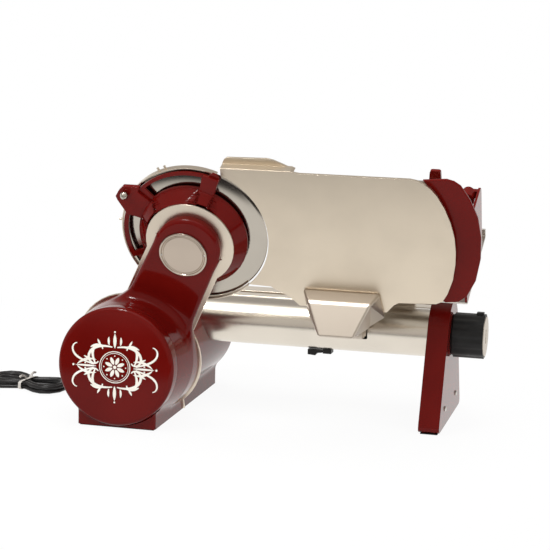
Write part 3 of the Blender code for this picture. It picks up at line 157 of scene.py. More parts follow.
class Nodes:
    """A node tree and the steps that build it."""

    def __init__(self, tree: bpy.types.NodeTree) -> None:
        """Takes the tree to build in."""
        self.tree = tree

    def value(self, kind: str, settings: Optional[Dict[str, object]] = None,
              inputs: Optional[Dict[Union[str, int], object]] = None, output: Union[str, int] = 0) -> Value:
        """Adds any node: its settings first, then its sockets.

        Args:
            kind: The node's type.
            settings: Its properties.
            inputs: Numbers, colours or Values for its sockets, by name or number.
            output: The name or number of the output that is wanted.

        Returns:
            That output.
        """
        made = self.tree.nodes.new(kind)
        for name, value in (settings or {}).items():
            setattr(made, name, value)
        for name, value in (inputs or {}).items():
            if isinstance(value, Value):
                self.tree.links.new(value.socket, made.inputs[name])
            else:
                made.inputs[name].default_value = value
        return Value(self, made.outputs[output])

    def place(self) -> Value:
        """Where a point of the piece is, in the row frame at rest."""
        return self.value("ShaderNodeTexCoord", output="Object")

    def rays(self, kind: str) -> Value:
        """Whether the ray is of a kind, by the name of its Light Path output."""
        return self.value("ShaderNodeLightPath", output=kind)

    def vector(self, operation: str, first: object, second: object, output: str = "Vector") -> Value:
        """One Vector Math node on two vectors, by its operation; output names the result."""
        return self.value("ShaderNodeVectorMath", {"operation": operation}, {0: first, 1: second}, output)

    def noise(self, scale: float, detail: float = 3.0, stretch: Point = (1.0, 1.0, 1.0),
              where: Optional[Value] = None) -> Value:
        """Noise from 0 to 1 over the piece, with scale features per metre, drawn out where stretch is small."""
        moved = self.vector("MULTIPLY", where or self.place(), stretch)
        return self.value("ShaderNodeTexNoise", {}, {"Vector": moved, "Scale": scale, "Detail": detail}, "Fac")

    def radius(self, centre: Sequence[float], axis: Sequence[float]) -> Value:
        """How far a point is from the axis through centre, in metres."""
        arm = self.vector("SUBTRACT", self.place(), tuple(centre))
        return self.vector("LENGTH", self.vector("CROSS_PRODUCT", arm, tuple(axis)), (0, 0, 0), "Value")

    def blend(self, share: Number, first: Union[Colour, Value], second: Union[Colour, Value]) -> Value:
        """A mix of two colours, in which the second has the given share."""
        pair = [colour if isinstance(colour, Value) else (*colour, 1.0) for colour in (first, second)]
        return self.value("ShaderNodeMix", {"data_type": "RGBA"}, {0: share, 6: pair[0], 7: pair[1]}, 2)


class Shader(Nodes):
    """One material's node tree round a Principled shader."""

    def __init__(self, name: str, colour: Colour, roughness: float, metallic: float = 0.0,
                 **constants: float) -> None:
        """Starts a material with its constant sockets.

        Args:
            name: The material's name.
            colour: Its linear base colour.
            roughness: Its roughness.
            metallic: 1 for bare metal.
            **constants: More Principled sockets, with _ for a space.
        """
        self.material = bpy.data.materials.new(name)
        self.material.use_nodes = True
        super().__init__(self.material.node_tree)
        self.surface = self.tree.nodes["Principled BSDF"]
        self.surface.inputs["Base Color"].default_value = (*colour, 1.0)
        self.surface.inputs["Roughness"].default_value = roughness
        self.surface.inputs["Metallic"].default_value = metallic
        for socket, value in constants.items():
            self.surface.inputs[socket.replace("_", " ")].default_value = value

    def feed(self, socket: str, value: Value) -> None:
        """Links a varying value to one of the surface's sockets."""
        self.tree.links.new(value.socket, self.surface.inputs[socket])

    def relief(self, height: Value, strength: float, depth: float) -> None:
        """Feeds a Bump of a relief from 0 to 1, with its depth in metres, to the surface's normal."""
        bump = {"Strength": strength, "Distance": depth, "Height": height}
        self.feed("Normal", self.value("ShaderNodeBump", {}, bump, "Normal"))


# Finishes

@dataclass(frozen=True)
class Enamel:
    """Glossy stove enamel over a casting, with a faint orange peel."""

    name: str
    colour: Colour
    deep: Colour
    roughness: float = 0.14
    coat: float = 0.12
    sheen: float = 0.09
    peel_depth: float = 0.0005
    slot: str = "red_enamel"

    def material(self) -> bpy.types.Material:
        """The enamel's material."""
        shader = Shader(self.name, self.colour, self.roughness, Coat_Weight=self.coat, Coat_Roughness=0.03,
                        Specular_IOR_Level=self.sheen)
        cloud = shader.noise(9.0, 2.0)
        fleck = shader.noise(900.0, 2.0)
        shader.feed("Base Color", shader.blend(cloud.between(0.3, 0.7), self.deep, self.colour))
        shader.feed("Roughness", self.roughness - 0.06 * (1.0 - fleck))
        peel = shader.noise(230.0, 2.0) + 0.35 * shader.noise(60.0, 1.0)
        shader.relief(peel, 0.03, self.peel_depth)
        return shader.material


@dataclass(frozen=True)
class Metal:
    """Bare metal with the marks of how it was worked."""

    name: str
    colour: Colour
    roughness: float
    grain: Grain
    depth: float = 0.00006
    centre: Point = tuple(BLADE_CENTRE)
    axis: Point = tuple(OUT_OF_PLANE)
    dulled: float = 0.93
    slot: str = "satin_aluminium"

    def marks(self, shader: Shader) -> Value:
        """The working marks of the metal's grain.

        Args:
            shader: The material's shader.

        Returns:
            The marks, from 0 to 1.
        """
        if self.grain is Grain.TURNED:
            radius = shader.radius(self.centre, self.axis)
            return shader.noise(2600.0, 4.0, where=shader.value("ShaderNodeCombineXYZ", {}, {0: radius}))
        stretch = {Grain.DRAWN: (0.02, 1.0, 1.0), Grain.ROLLED: (1.0, 0.03, 0.03),
                   Grain.BLASTED: (1.0, 1.0, 1.0)}[self.grain]
        return shader.noise(1500.0, 4.0, stretch)

    def material(self) -> bpy.types.Material:
        """The metal's material."""
        shader = Shader(self.name, self.colour, self.roughness, 1.0)
        marks = self.marks(shader)
        cloud = shader.noise(14.0, 3.0)
        dull = tuple(self.dulled * part for part in self.colour)
        shader.feed("Base Color", shader.blend(0.7 * cloud.between(0.35, 0.75), self.colour, dull))
        shader.feed("Roughness", self.roughness - 0.05 + 0.12 * marks + 0.05 * cloud)
        shader.relief(marks, 0.25, self.depth)
        return shader.material


@dataclass(frozen=True)
class Moulded:
    """Moulded plastic or rubber with a fine eroded grain."""

    name: str
    colour: Colour
    roughness: float
    grain_depth: float
    sheen: float = 0.25
    slot: str = "black_plastic"

    def material(self) -> bpy.types.Material:
        """The moulding's material."""
        shader = Shader(self.name, self.colour, self.roughness, Specular_IOR_Level=self.sheen)
        grain = shader.noise(1400.0, 3.0)
        dust = shader.noise(40.0, 4.0)
        pale = tuple(min(1.0, 1.6 * part + 0.006) for part in self.colour)
        shader.feed("Base Color", shader.blend(0.5 * dust.between(0.45, 0.8), self.colour, pale))
        shader.feed("Roughness", self.roughness - 0.04 + 0.12 * grain)
        shader.relief(grain, 0.5, self.grain_depth)
        return shader.material


RED = Enamel("red_enamel", (0.128, 0.0042, 0.0028), (0.104, 0.0030, 0.0020))
TRIM = Metal("trim_satin", (0.78, 0.69, 0.575), 0.30, Grain.BLASTED, 0.00003)
PLATE = Metal("plate_satin", (0.79, 0.695, 0.565), 0.36, Grain.DRAWN, 0.00002)
TUBE = Metal("tube_drawn", (0.80, 0.74, 0.655), 0.21, Grain.DRAWN, 0.00001)
CAST = Metal("cast_satin", (0.64, 0.57, 0.49), 0.36, Grain.BLASTED, 0.00008)
BLADE = Metal("blade_ground", (0.52, 0.48, 0.42), 0.12, Grain.TURNED, 0.00003, slot="blade_steel")
TURNED = Metal("steel_turned", (0.66, 0.63, 0.59), 0.22, Grain.BLASTED, 0.00002, slot="stainless_steel")
BRUSHED = Metal("steel_brushed", (0.66, 0.63, 0.58), 0.28, Grain.ROLLED, 0.00004, slot="stainless_steel")
PLAIN = Metal("steel_plain", (0.45, 0.45, 0.46), 0.40, Grain.BLASTED, 0.00004, slot="plain_steel")
BADGE = Metal("badge_bright", (0.54, 0.46, 0.385), 0.20, Grain.ROLLED, 0.00002, slot="stainless_steel")
BLACK = Moulded("black_moulding", (0.012, 0.012, 0.012), 0.38, 0.00004)
RUBBER = Moulded("black_rubber", (0.016, 0.016, 0.016), 0.62, 0.00006, slot="black_rubber")
FLEX = Moulded("cord_sheath", (0.016, 0.015, 0.015), 0.30, 0.00002, slot="cord_black")
PAPER = Moulded("tie_grey", (0.56, 0.53, 0.49), 0.60, 0.0002, slot="tie_grey")
INK = Moulded("ornament_ink", (0.83, 0.80, 0.72), 0.45, 0.00001, slot="tie_grey")
Finish = Union[Enamel, Metal, Moulded]


class Paints:
    """The materials made so far, one for each finish."""

    made: ClassVar[Dict[str, bpy.types.Material]] = {}

    @classmethod
    def of(cls, finish: Finish) -> bpy.types.Material:
        """The finish's material, made once."""
        if finish.name not in cls.made:
            cls.made[finish.name] = finish.material()
        return cls.made[finish.name]


# Frames and shapes

def placed(name: str, data: Optional[bpy.types.ID]) -> bpy.types.Object:
    """A new object in the scene.

    Args:
        name: Its name.
        data: Its mesh, curve, lamp or camera.

    Returns:
        The object.
    """
    made = bpy.data.objects.new(name, data)
    bpy.context.scene.collection.objects.link(made)
    return made


def opened(mesh: bpy.types.Mesh) -> bmesh.types.BMesh:
    """A mesh opened for editing."""
    build = bmesh.new()
    build.from_mesh(mesh)
    return build


def closed_up(build: bmesh.types.BMesh, name: str) -> bpy.types.Mesh:
    """The mesh of what was edited.

    Args:
        build: The edited form, which is freed.
        name: The mesh's name.

    Returns:
        The mesh.
    """
    mesh = bpy.data.meshes.new(name)
    build.to_mesh(mesh)
    build.free()
    return mesh


def block(build: bmesh.types.BMesh, middle: Sequence[float], size: Sequence[float]) -> None:
    """Adds a block to a form, by its middle and its three sides."""
    bmesh.ops.create_cube(build, size=1.0, matrix=Matrix.Translation(middle) @ Matrix.Diagonal((*size, 1)))


def arc(radius: float, start_deg: float, end_deg: float, count: int = 32) -> Outline:
    """Points on a circle round the origin, from one angle to the other in count steps."""
    turns = [math.radians(start_deg + (end_deg - start_deg) * step / count) for step in range(count + 1)]
    return [(radius * math.cos(turn), radius * math.sin(turn)) for turn in turns]


def in_plane(x: float, v: float, d: float) -> Vector:
    """The row-frame point at x along the beam, v up the blade plane and d out of it on the slice side."""
    return BLADE_CENTRE + ACROSS_X * x + UP_PLANE * v + OUT_OF_PLANE * d


def frame_of(origin: Vector, x_axis: Vector, y_axis: Vector) -> Matrix:
    """The matrix of a frame from its origin and its first two axes."""
    rows = Matrix((x_axis, y_axis, x_axis.cross(y_axis)))
    return Matrix.Translation(origin) @ rows.transposed().to_4x4()


PLANE = frame_of(BLADE_CENTRE, ACROSS_X, UP_PLANE)
BARREL = frame_of(Vector((BARREL_X, 0, BARREL_Z)), ACROSS_X, Vector((0, 0, 1)))
QUARTER_TURN = Matrix.Rotation(math.radians(90), 4, "X")


@dataclass
class Workshop:
    """Makes pieces and hands them to their bodies."""

    def finish_piece(self, name: str, mesh: bpy.types.Mesh, finish: Finish, body: str,
                     replaced: Sequence[str] = (), sharp_deg: float = 35.0) -> bpy.types.Object:
        """Links a mesh as a piece that rides on a body.

        Args:
            name: The piece's name.
            mesh: Its mesh, in the row frame.
            finish: Its finish.
            body: The body that it rides on.
            replaced: The CAD nodes that it stands for.
            sharp_deg: Edges steeper than this stay sharp.

        Returns:
            The piece.
        """
        mesh.name = name
        mesh.materials.clear()
        mesh.materials.append(Paints.of(finish))
        mesh.shade_smooth()
        mesh.set_sharp_from_angle(angle=math.radians(sharp_deg))
        piece = placed(name, mesh)
        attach(piece, body)
        if replaced:
            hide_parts(*replaced)
        log.info("%s on %s, %d faces", name, body, len(mesh.polygons))
        return piece

    @staticmethod
    def applied(mesh: bpy.types.Mesh, *steps: Tuple[str, Dict[str, object]]) -> bpy.types.Mesh:
        """The mesh after some modifiers.

        Args:
            mesh: The mesh before them.
            *steps: Each modifier's type and settings.

        Returns:
            A new mesh.
        """
        holder = placed("holder", mesh)
        for kind, settings in steps:
            modifier = holder.modifiers.new(kind.lower(), kind)
            for name, value in settings.items():
                setattr(modifier, name, value)
        return Workshop.taken(holder)

    @staticmethod
    def taken(holder: bpy.types.Object) -> bpy.types.Mesh:
        """The final mesh of an object that goes."""
        result = bpy.data.meshes.new_from_object(holder.evaluated_get(bpy.context.evaluated_depsgraph_get()))
        bpy.data.objects.remove(holder, do_unlink=True)
        return result

    @staticmethod
    def edged(mesh: bpy.types.Mesh, width: float, segments: int, from_deg: float = 32.0) -> bpy.types.Mesh:
        """A new mesh with the edges steeper than from_deg broken by width, in that many segments."""
        return Workshop.applied(mesh, ("BEVEL", {"width": width, "segments": segments, "limit_method": "ANGLE",
                                                 "angle_limit": math.radians(from_deg)}))

    @staticmethod
    def even(piece: bpy.types.Object) -> bpy.types.Object:
        """The piece, with its flat faces shaded flat up to their broken edges."""
        piece.modifiers.new("even_shading", "WEIGHTED_NORMAL").keep_sharp = True
        return piece

    def softened(self, node: str, finish: Finish, width: float, segments: int = 3,
                 name: str = "") -> bpy.types.Object:
        """A CAD node's shape with its sharp edges broken, as a new piece over it.

        Args:
            node: The CAD node.
            finish: The finish.
            width: The edge break in metres.
            segments: Its steps.
            name: The piece's name, if not made from the node's.

        Returns:
            The piece.
        """
        source = frame["nodes"][node]
        build = opened(source.data)
        bmesh.ops.remove_doubles(build, verts=build.verts, dist=2e-6)
        bmesh.ops.dissolve_limit(build, angle_limit=math.radians(0.6), verts=build.verts, edges=build.edges)
        soft = self.edged(closed_up(build, node), width, segments)
        return self.even(self.finish_piece(name or node + "_shell", soft, finish, source["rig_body"], (node,)))

    def soften(self, *rows: Tuple[str, Finish, float, int]) -> None:
        """Softens CAD nodes, each with its finish, its edge break and that break's steps."""
        for row in rows:
            self.softened(*row)

    def turned(self, name: str, profile: Sequence[Tuple[float, ...]], where: Matrix, finish: Finish, body: str,
               replaced: Sequence[str] = (), steps: int = 128, closed: bool = False) -> bpy.types.Object:
        """A turned piece about its frame's third axis.

        Args:
            name: The piece's name.
            profile: Its (radius, height) points.
            where: Its frame.
            finish: The finish.
            body: The body that it rides on.
            replaced: The CAD nodes that it stands for.
            steps: Its sides.
            closed: Whether the profile closes on itself.

        Returns:
            The piece.
        """
        edges = [(index, index + 1) for index in range(len(profile) - 1)] + [(len(profile) - 1, 0)] * closed
        mesh = bpy.data.meshes.new(name)
        mesh.from_pydata([(radius, 0, height) for radius, height in profile], edges, [])
        screw = {"steps": steps, "render_steps": steps, "use_merge_vertices": True, "merge_threshold": 1e-5,
                 "use_normal_calculate": True}
        build = opened(self.applied(mesh, ("SCREW", screw)))
        bmesh.ops.recalc_face_normals(build, faces=build.faces)
        whole = closed_up(build, name)
        whole.transform(where)
        return self.finish_piece(name, whole, finish, body, replaced)

    def flat(self, name: str, outlines: Sequence[Union[Outline, Rows]], low: float, high: float, edge: float,
             finish: Finish, body: str, replaced: Sequence[str] = ()) -> bpy.types.Object:
        """A flat piece of the blade plane with broken edges.

        Args:
            name: The piece's name.
            outlines: Its outline and holes.
            low: Its back.
            high: Its front.
            edge: The edge break in metres.
            finish: The finish.
            body: The body that it rides on.
            replaced: The CAD nodes that it stands for.

        Returns:
            The piece.
        """
        curve = bpy.data.curves.new(name, "CURVE")
        curve.dimensions = "2D"
        curve.fill_mode = "BOTH"
        curve.extrude = (high - low) / 2
        for outline in outlines:
            spline = curve.splines.new("POLY")
            spline.points.add(len(outline) - 1)
            for point, (x, v) in zip(spline.points, outline):
                point.co = (x, v, 0, 1)
            spline.use_cyclic_u = True
        build = opened(self.taken(placed("holder", curve)))
        bmesh.ops.remove_doubles(build, verts=build.verts, dist=1e-6)
        bmesh.ops.dissolve_limit(build, angle_limit=math.radians(0.5), verts=build.verts, edges=build.edges)
        sheet = closed_up(build, name)
        sheet.transform(Matrix.Translation((0, 0, (low + high) / 2)))
        soft = self.edged(sheet, edge, 4, 40)
        soft.transform(PLANE)
        return self.even(self.finish_piece(name, soft, finish, body, replaced))

    def dress(self, finish: Finish, *nodes: str) -> None:
        """Gives CAD nodes whose shape stays their finish.

        Args:
            finish: The finish.
            *nodes: The nodes.
        """
        for node in nodes:
            data = frame["nodes"][node].data
            data.materials.clear()
            data.materials.append(Paints.of(finish))
            log.info("%s finished as %s", node, finish.name)


# Castings from signed distances

def corner(first: np.ndarray, second: np.ndarray) -> np.ndarray:
    """Distances to the square corner between two faces, from the distances to both."""
    return np.hypot(np.maximum(first, 0), np.maximum(second, 0)) + np.minimum(np.maximum(first, second), 0)


def smooth_union(first: np.ndarray, second: np.ndarray, fillet: float) -> np.ndarray:
    """The union of two distances, with a fillet where they meet."""
    share = np.maximum(fillet - np.abs(first - second), 0.0) / fillet
    return np.minimum(first, second) - share * share * fillet * 0.25


def prism(flat: np.ndarray, height: np.ndarray, low: float, high: float, edge: float) -> np.ndarray:
    """Distances to a form of that outline from low to high, with its edges rounded."""
    return corner(flat + edge, np.abs(height - (low + high) / 2) - (high - low) / 2 + edge) - edge


def arm_flat(x: np.ndarray, v: np.ndarray, hub: float, half_width: float, flare: float,
             fillet: float) -> np.ndarray:
    """Distances to the arm's outline in the blade plane: hub circle and an arm that flares to the left.

    Args:
        x: Across.
        v: Up the plane.
        hub: The hub's radius.
        half_width: Half the arm's width.
        flare: How much further out its left side ends.
        fillet: The fillet between hub and arm.

    Returns:
        The distances.
    """
    length = math.hypot(MOTOR_X, MOTOR_V)
    along = (x * MOTOR_X + v * MOTOR_V) / length
    across = (x * MOTOR_V - v * MOTOR_X) / length
    circle = np.hypot(x, v) - hub
    bar_along = np.maximum(-along, along - length)
    near = min(hub, half_width)
    start = math.sqrt(hub * hub - near * near)
    share = np.clip((along - start) / (length - 0.03 - start), 0, 1.2)
    side = np.abs(across) - near - (half_width + np.where(across > 0, flare, 0.0) - near) * share
    return smooth_union(circle, corner(side, bar_along), fillet)


@dataclass
class Casting:
    """A cast shell: a skin of voxels over rough lumps, drawn onto a signed distance and cut open."""

    name: str
    distance: Distance
    lumps: Lumps
    voxel: float
    wall: float = 0.0025
    probe: float = 1e-5
    longest_step: float = 0.004

    def rough(self) -> bpy.types.Mesh:
        """The lumps together as one voxel skin."""
        build = bmesh.new()
        for kind, size, where in self.lumps:
            if kind is Lump.BOX:
                bmesh.ops.create_cube(build, size=1.0, matrix=where @ Matrix.Diagonal((*size, 1)))
            else:
                bmesh.ops.create_cone(build, cap_ends=True, segments=64, radius1=size[0], radius2=size[1],
                                      depth=size[2], matrix=where)
        grid = {"mode": "VOXEL", "voxel_size": self.voxel}
        return Workshop.applied(closed_up(build, self.name), ("REMESH", grid))

    def settle(self, mesh: bpy.types.Mesh, rounds: int = 7) -> None:
        """Draws each point of the skin onto the surface.

        Args:
            mesh: The skin.
            rounds: How often each point steps towards it.
        """
        points = np.zeros(len(mesh.vertices) * 3)
        mesh.vertices.foreach_get("co", points)
        points = points.reshape(-1, 3)
        for _ in range(rounds):
            here = self.distance(points)
            slope = np.stack([(self.distance(points + axis) - self.distance(points - axis)) / (2 * self.probe)
                              for axis in np.eye(3) * self.probe], axis=1)
            size = np.maximum((slope * slope).sum(1), 0.25)
            move = np.clip(here / size, -self.longest_step, self.longest_step)
            points = points - slope * move[:, None]
        mesh.vertices.foreach_set("co", points.reshape(-1))
        mesh.update()

    def shell(self, cuts: Iterable[Cut]) -> bpy.types.Mesh:
        """The casting with everything beyond its cutting planes gone, as a wall of its thickness.

        Args:
            cuts: Each plane's point, its normal towards what goes, and which faces it may touch.

        Returns:
            The mesh.
        """
        mesh = self.rough()
        self.settle(mesh)
        build = opened(mesh)
        for point, normal, touched in cuts:
            chosen = [face for face in build.faces if touched is None or touched(face.calc_center_median())]
            geometry = set(chosen).union(*(face.edges for face in chosen), *(face.verts for face in chosen))
            bmesh.ops.bisect_plane(build, geom=list(geometry), plane_co=point, plane_no=normal)
            gone = [face for face in build.faces
                    if (face.calc_center_median() - point).dot(normal) > 1e-7
                    and (touched is None or touched(face.calc_center_median()))]
            bmesh.ops.delete(build, geom=gone, context="FACES")
        skin = closed_up(build, self.name)
        skin.shade_smooth()
        solid = {"thickness": self.wall, "offset": -1.0, "use_even_offset": False}
        return Workshop.applied(skin, ("SOLIDIFY", solid))


# Sub-assemblies

@dataclass
class MotorUnit:
    """The motor barrel with its arm: two castings, the trim between them, cap, ornament and badge."""

    shop: Workshop
    arm_fillet: float = 0.026
    foot_fillet: float = 0.006
    cover_hub: float = 0.0490
    cover_half: float = 0.0527
    cover_edge: float = 0.0058
    cover_flare: float = 0.009
    tray_flare: float = 0.005
    rib_lift: float = 0.0032
    foot_half_x: float = 0.061
    foot_half_y: float = 0.165
    foot_corner: float = 0.004
    rear_r: float = 0.086
    rear_rim: float = 0.010
    flange_thick: float = 0.010
    rear_y: float = 0.185
    trim_hub: float = 0.0671
    tray_half: float = 0.0545
    tray_hub: float = 0.055
    barrel_depth: float = 0.015
    flare_length: float = 0.060
    front_voxel: float = 0.0013
    rear_voxel: float = 0.0016
    cover_fillet: float = 0.006
    tray_fillet: float = 0.004
    tray_edge: float = 0.0015
    cone_top: float = 0.001
    cone_slope: float = 0.72
    cone_fillet: float = 0.003
    rib_fillet: float = 0.0015
    barrel_fillet: float = 0.008
    cap_rim: float = 0.0065
    cap_wall: float = 0.004
    cap_face: float = 0.006
    badge_place: Tuple[float, float] = (-0.0066, -0.0092)
    badge_rings: Rows = ((0, 0.0024), (0.0298, 0.0022), (0.0304, 0.0016), (0.0311, 0.0022), (0.0322, 0.0022),
                         (0.0328, 0.0016), (0.0335, 0.0028), (0.0351, 0.0030), (0.0362, 0.0024),
                         (0.0367, 0.0012), (0.0367, 0), (0, 0))
    rivet_dome: Rows = ((0, 0.0009), (0.0008, 0.0008), (0.0014, 0.0004), (0.0016, 0), (0, 0))

    @staticmethod
    def plane_coordinates(points: np.ndarray) -> Tuple[np.ndarray, np.ndarray, np.ndarray]:
        """The blade plane's x, v and d of row-frame points."""
        arm = points - np.array(BLADE_CENTRE)
        return arm[:, 0], arm @ np.array(UP_PLANE), arm @ np.array(OUT_OF_PLANE)

    def foot(self, points: np.ndarray, low_y: float, high_y: float) -> np.ndarray:
        """Distances to the foot's block.

        Args:
            points: The points.
            low_y: Its front.
            high_y: Its back.

        Returns:
            The distances.
        """
        x = np.abs(points[:, 0]) - self.foot_half_x + self.foot_corner
        y = np.abs(points[:, 1] - (low_y + high_y) / 2) - (high_y - low_y) / 2 + self.foot_corner
        return np.maximum(corner(x, y) - self.foot_corner, points[:, 2] - BARREL_Z)

    def front_distance(self, points: np.ndarray) -> np.ndarray:
        """Distances to the front casting's skin.

        Args:
            points: The points.

        Returns:
            The distances.
        """
        x, v, d = self.plane_coordinates(points)
        outline = arm_flat(x, v, self.cover_hub, self.cover_half, self.cover_flare, self.cover_fillet)
        arm = prism(outline, d, -0.03, COVER_FRONT, self.cover_edge)
        share = np.clip((points[:, 1] - CAP_BACK_Y) / self.flare_length, 0, 1)
        radius = BARREL_R + (FLARE_R - BARREL_R) * share
        barrel = np.hypot(points[:, 0] - BARREL_X, points[:, 2] - BARREL_Z) - radius
        barrel = np.maximum(barrel, CAP_BACK_Y - self.barrel_depth - points[:, 1])
        return smooth_union(smooth_union(arm, barrel, self.arm_fillet),
                            self.foot(points, -self.foot_half_y, 0.1), self.foot_fillet)

    def rear_distance(self, points: np.ndarray) -> np.ndarray:
        """Distances to the rear casting's skin.

        Args:
            points: The points.

        Returns:
            The distances.
        """
        x, v, d = self.plane_coordinates(points)
        outline = arm_flat(x, v, self.tray_hub, self.tray_half, self.tray_flare, self.tray_fillet)
        tray = prism(outline, d, TRAY_BACK + SEAM, 0.06, self.tray_edge)
        front = TRIM_FRONT - TRIM_THICK
        reach = np.clip((front - d) / (front - TRAY_BACK), -1.5, 1.2)
        radius = np.hypot(x, v)
        top = self.trim_hub - self.cone_top
        cone = (radius - top - (CONE_FOOT_R - top) * reach) * self.cone_slope
        turned = np.degrees(np.arctan2(v, x))
        for middle, half in BladeHead.spokes:
            beside = (np.abs((turned - middle + 180) % 360 - 180) - half) * radius * math.pi / 180
            rib = np.maximum(np.maximum(cone - self.rib_lift, beside), radius - CONE_FOOT_R)
            cone = smooth_union(cone, rib, self.rib_fillet)
        cone = np.maximum(cone, TRAY_BACK + SEAM - d)
        radial = np.hypot(points[:, 0] - BARREL_X, points[:, 2] - BARREL_Z) - self.rear_r + self.rear_rim
        barrel = corner(radial, points[:, 1] - self.rear_y + self.rear_rim) - self.rear_rim
        body = smooth_union(smooth_union(tray, cone, self.cone_fillet), barrel, self.barrel_fillet)
        return smooth_union(body, self.foot(points, -0.1, self.foot_half_y), self.foot_fillet)

    def lumps(self, front: bool) -> Lumps:
        """The rough lumps of a casting.

        Args:
            front: Whether it is the front one.

        Returns:
            Each lump's kind, size and matrix.
        """
        length = math.hypot(MOTOR_X, MOTOR_V)
        down_arm = PLANE @ Matrix.Rotation(math.atan2(MOTOR_V, MOTOR_X), 4, "Z")
        low, high = (-0.02, COVER_FRONT) if front else (TRAY_BACK, 0.055)
        half = self.cover_half + self.cover_flare if front else self.tray_half + self.tray_flare
        hub = self.cover_hub if front else CONE_FOOT_R
        start, end = (CAP_BACK_Y - self.barrel_depth, 0.07) if front else (-0.10, self.rear_y)
        radius = BARREL_R + 0.003 if front else self.rear_r
        foot = (-self.foot_half_y, 0.07) if front else (-0.10, self.foot_half_y)
        barrel = Matrix.Translation((BARREL_X, (start + end) / 2, BARREL_Z)) @ QUARTER_TURN
        return [(Lump.DRUM, (radius, radius, end - start), barrel),
                (Lump.BOX, (length, 2 * half, high - low),
                 down_arm @ Matrix.Translation((length / 2, 0, (low + high) / 2))),
                (Lump.DRUM, (hub, hub, high - low), PLANE @ Matrix.Translation((0, 0, (low + high) / 2))),
                (Lump.BOX, (2 * self.foot_half_x, foot[1] - foot[0], BARREL_Z + 0.012),
                 Matrix.Translation((0, sum(foot) / 2, (BARREL_Z - 0.012) / 2)))]

    def castings(self) -> None:
        """Both housings."""
        trim_point = in_plane(0, 0, TRIM_FRONT + SEAM)
        down = (Vector((0, 0, UNDERSIDE_Z)), Vector((0, 0, -1)), None)

        def on_barrel(point: Vector) -> bool:
            """Whether a point lies in the barrel's room behind the cap."""
            return math.hypot(point.x - BARREL_X, point.z - BARREL_Z) < BARREL_R + 0.0015

        front = Casting("front_housing_shell", self.front_distance, self.lumps(True), self.front_voxel)
        mesh = front.shell([(trim_point, -OUT_OF_PLANE, None),
                            (Vector((0, CAP_BACK_Y + SEAM, 0)), Vector((0, -1, 0)), on_barrel), down])
        self.shop.finish_piece("front_housing_shell", mesh, RED, "frame", ("front_housing",), 50)
        rear = Casting("rear_housing_shell", self.rear_distance, self.lumps(False), self.rear_voxel)
        mesh = rear.shell([(in_plane(0, 0, TRIM_FRONT - TRIM_THICK - SEAM), OUT_OF_PLANE, None), down])
        self.shop.finish_piece("rear_housing_shell", mesh, RED, "frame", ("rear_housing",), 50)

    def flange(self) -> None:
        """The rear casting's flange along the trim."""
        high = TRIM_FRONT - TRIM_THICK - SEAM
        build = bmesh.new()
        bmesh.ops.create_cone(build, cap_ends=True, segments=160, radius1=FLARE_R, radius2=FLARE_R, depth=0.30,
                              matrix=Matrix.Translation((BARREL_X, -0.04, BARREL_Z)) @ QUARTER_TURN)
        for point, normal in ((in_plane(0, 0, high - self.flange_thick), -OUT_OF_PLANE),
                              (in_plane(0, 0, high), OUT_OF_PLANE), ((0, 0, UNDERSIDE_Z), (0, 0, -1))):
            bmesh.ops.bisect_plane(build, geom=build.verts[:] + build.edges[:] + build.faces[:],
                                   plane_co=point, plane_no=normal, clear_outer=True)
            bmesh.ops.contextual_create(build, geom=[edge for edge in build.edges if edge.is_boundary])
        mesh = self.shop.edged(closed_up(build, "rear_flange"), 0.0010, 3)
        self.shop.finish_piece("rear_flange", mesh, RED, "frame")

    def cap(self) -> None:
        """The round motor cap with its rolled rim."""
        rim = self.cap_rim
        front, back, inner, chamfer = -CAP_FRONT_Y, -CAP_BACK_Y, BARREL_R - self.cap_wall, 0.0008
        rolled = [(BARREL_R - rim + x, front - rim + height) for x, height in arc(rim, 90, 0, 15)]
        profile = [(0, front), (0.040, front), (BARREL_R - rim - 0.002, front)] + rolled \
            + [(BARREL_R, back + chamfer), (BARREL_R - chamfer, back), (inner, back),
               (inner, front - self.cap_face), (0, front - self.cap_face)]
        self.shop.turned("motor_cap_shell", profile, BARREL, RED, "frame", ("motor_cap",), 160)

    def badge(self) -> None:
        """The blank bright badge with its rings and two rivets."""
        where = PLANE @ Matrix.Translation((*self.badge_place, COVER_FRONT + SEAM))
        self.shop.turned("badge_disc", self.badge_rings, where, BADGE, "frame", ("badge",), 128)
        for side in (-1, 1):
            rivet = where @ Matrix.Translation((side * 0.0330, side * 0.001, 0.0026))
            self.shop.turned("badge_rivet_%d" % (side + 2), self.rivet_dome, rivet, TURNED, "frame", (), 24)

    def build(self) -> None:
        """Makes and dresses the whole unit."""
        self.castings()
        self.flange()
        self.cap()
        self.badge()
        self.shop.soften(("trim_frame", TRIM, 0.0006, 3))
        self.shop.dress(RUBBER, "foot_pad", "drive_belt")
        self.shop.dress(PLAIN, "motor_body", "motor_plate", "motor_shaft", "blade_bearing")
        self.shop.dress(BLACK, "motor_pulley", "blade_pulley")
        self.shop.dress(TURNED, "housing_screw_1", "housing_screw_2", "housing_screw_3")
        Ornament(self.shop).build()


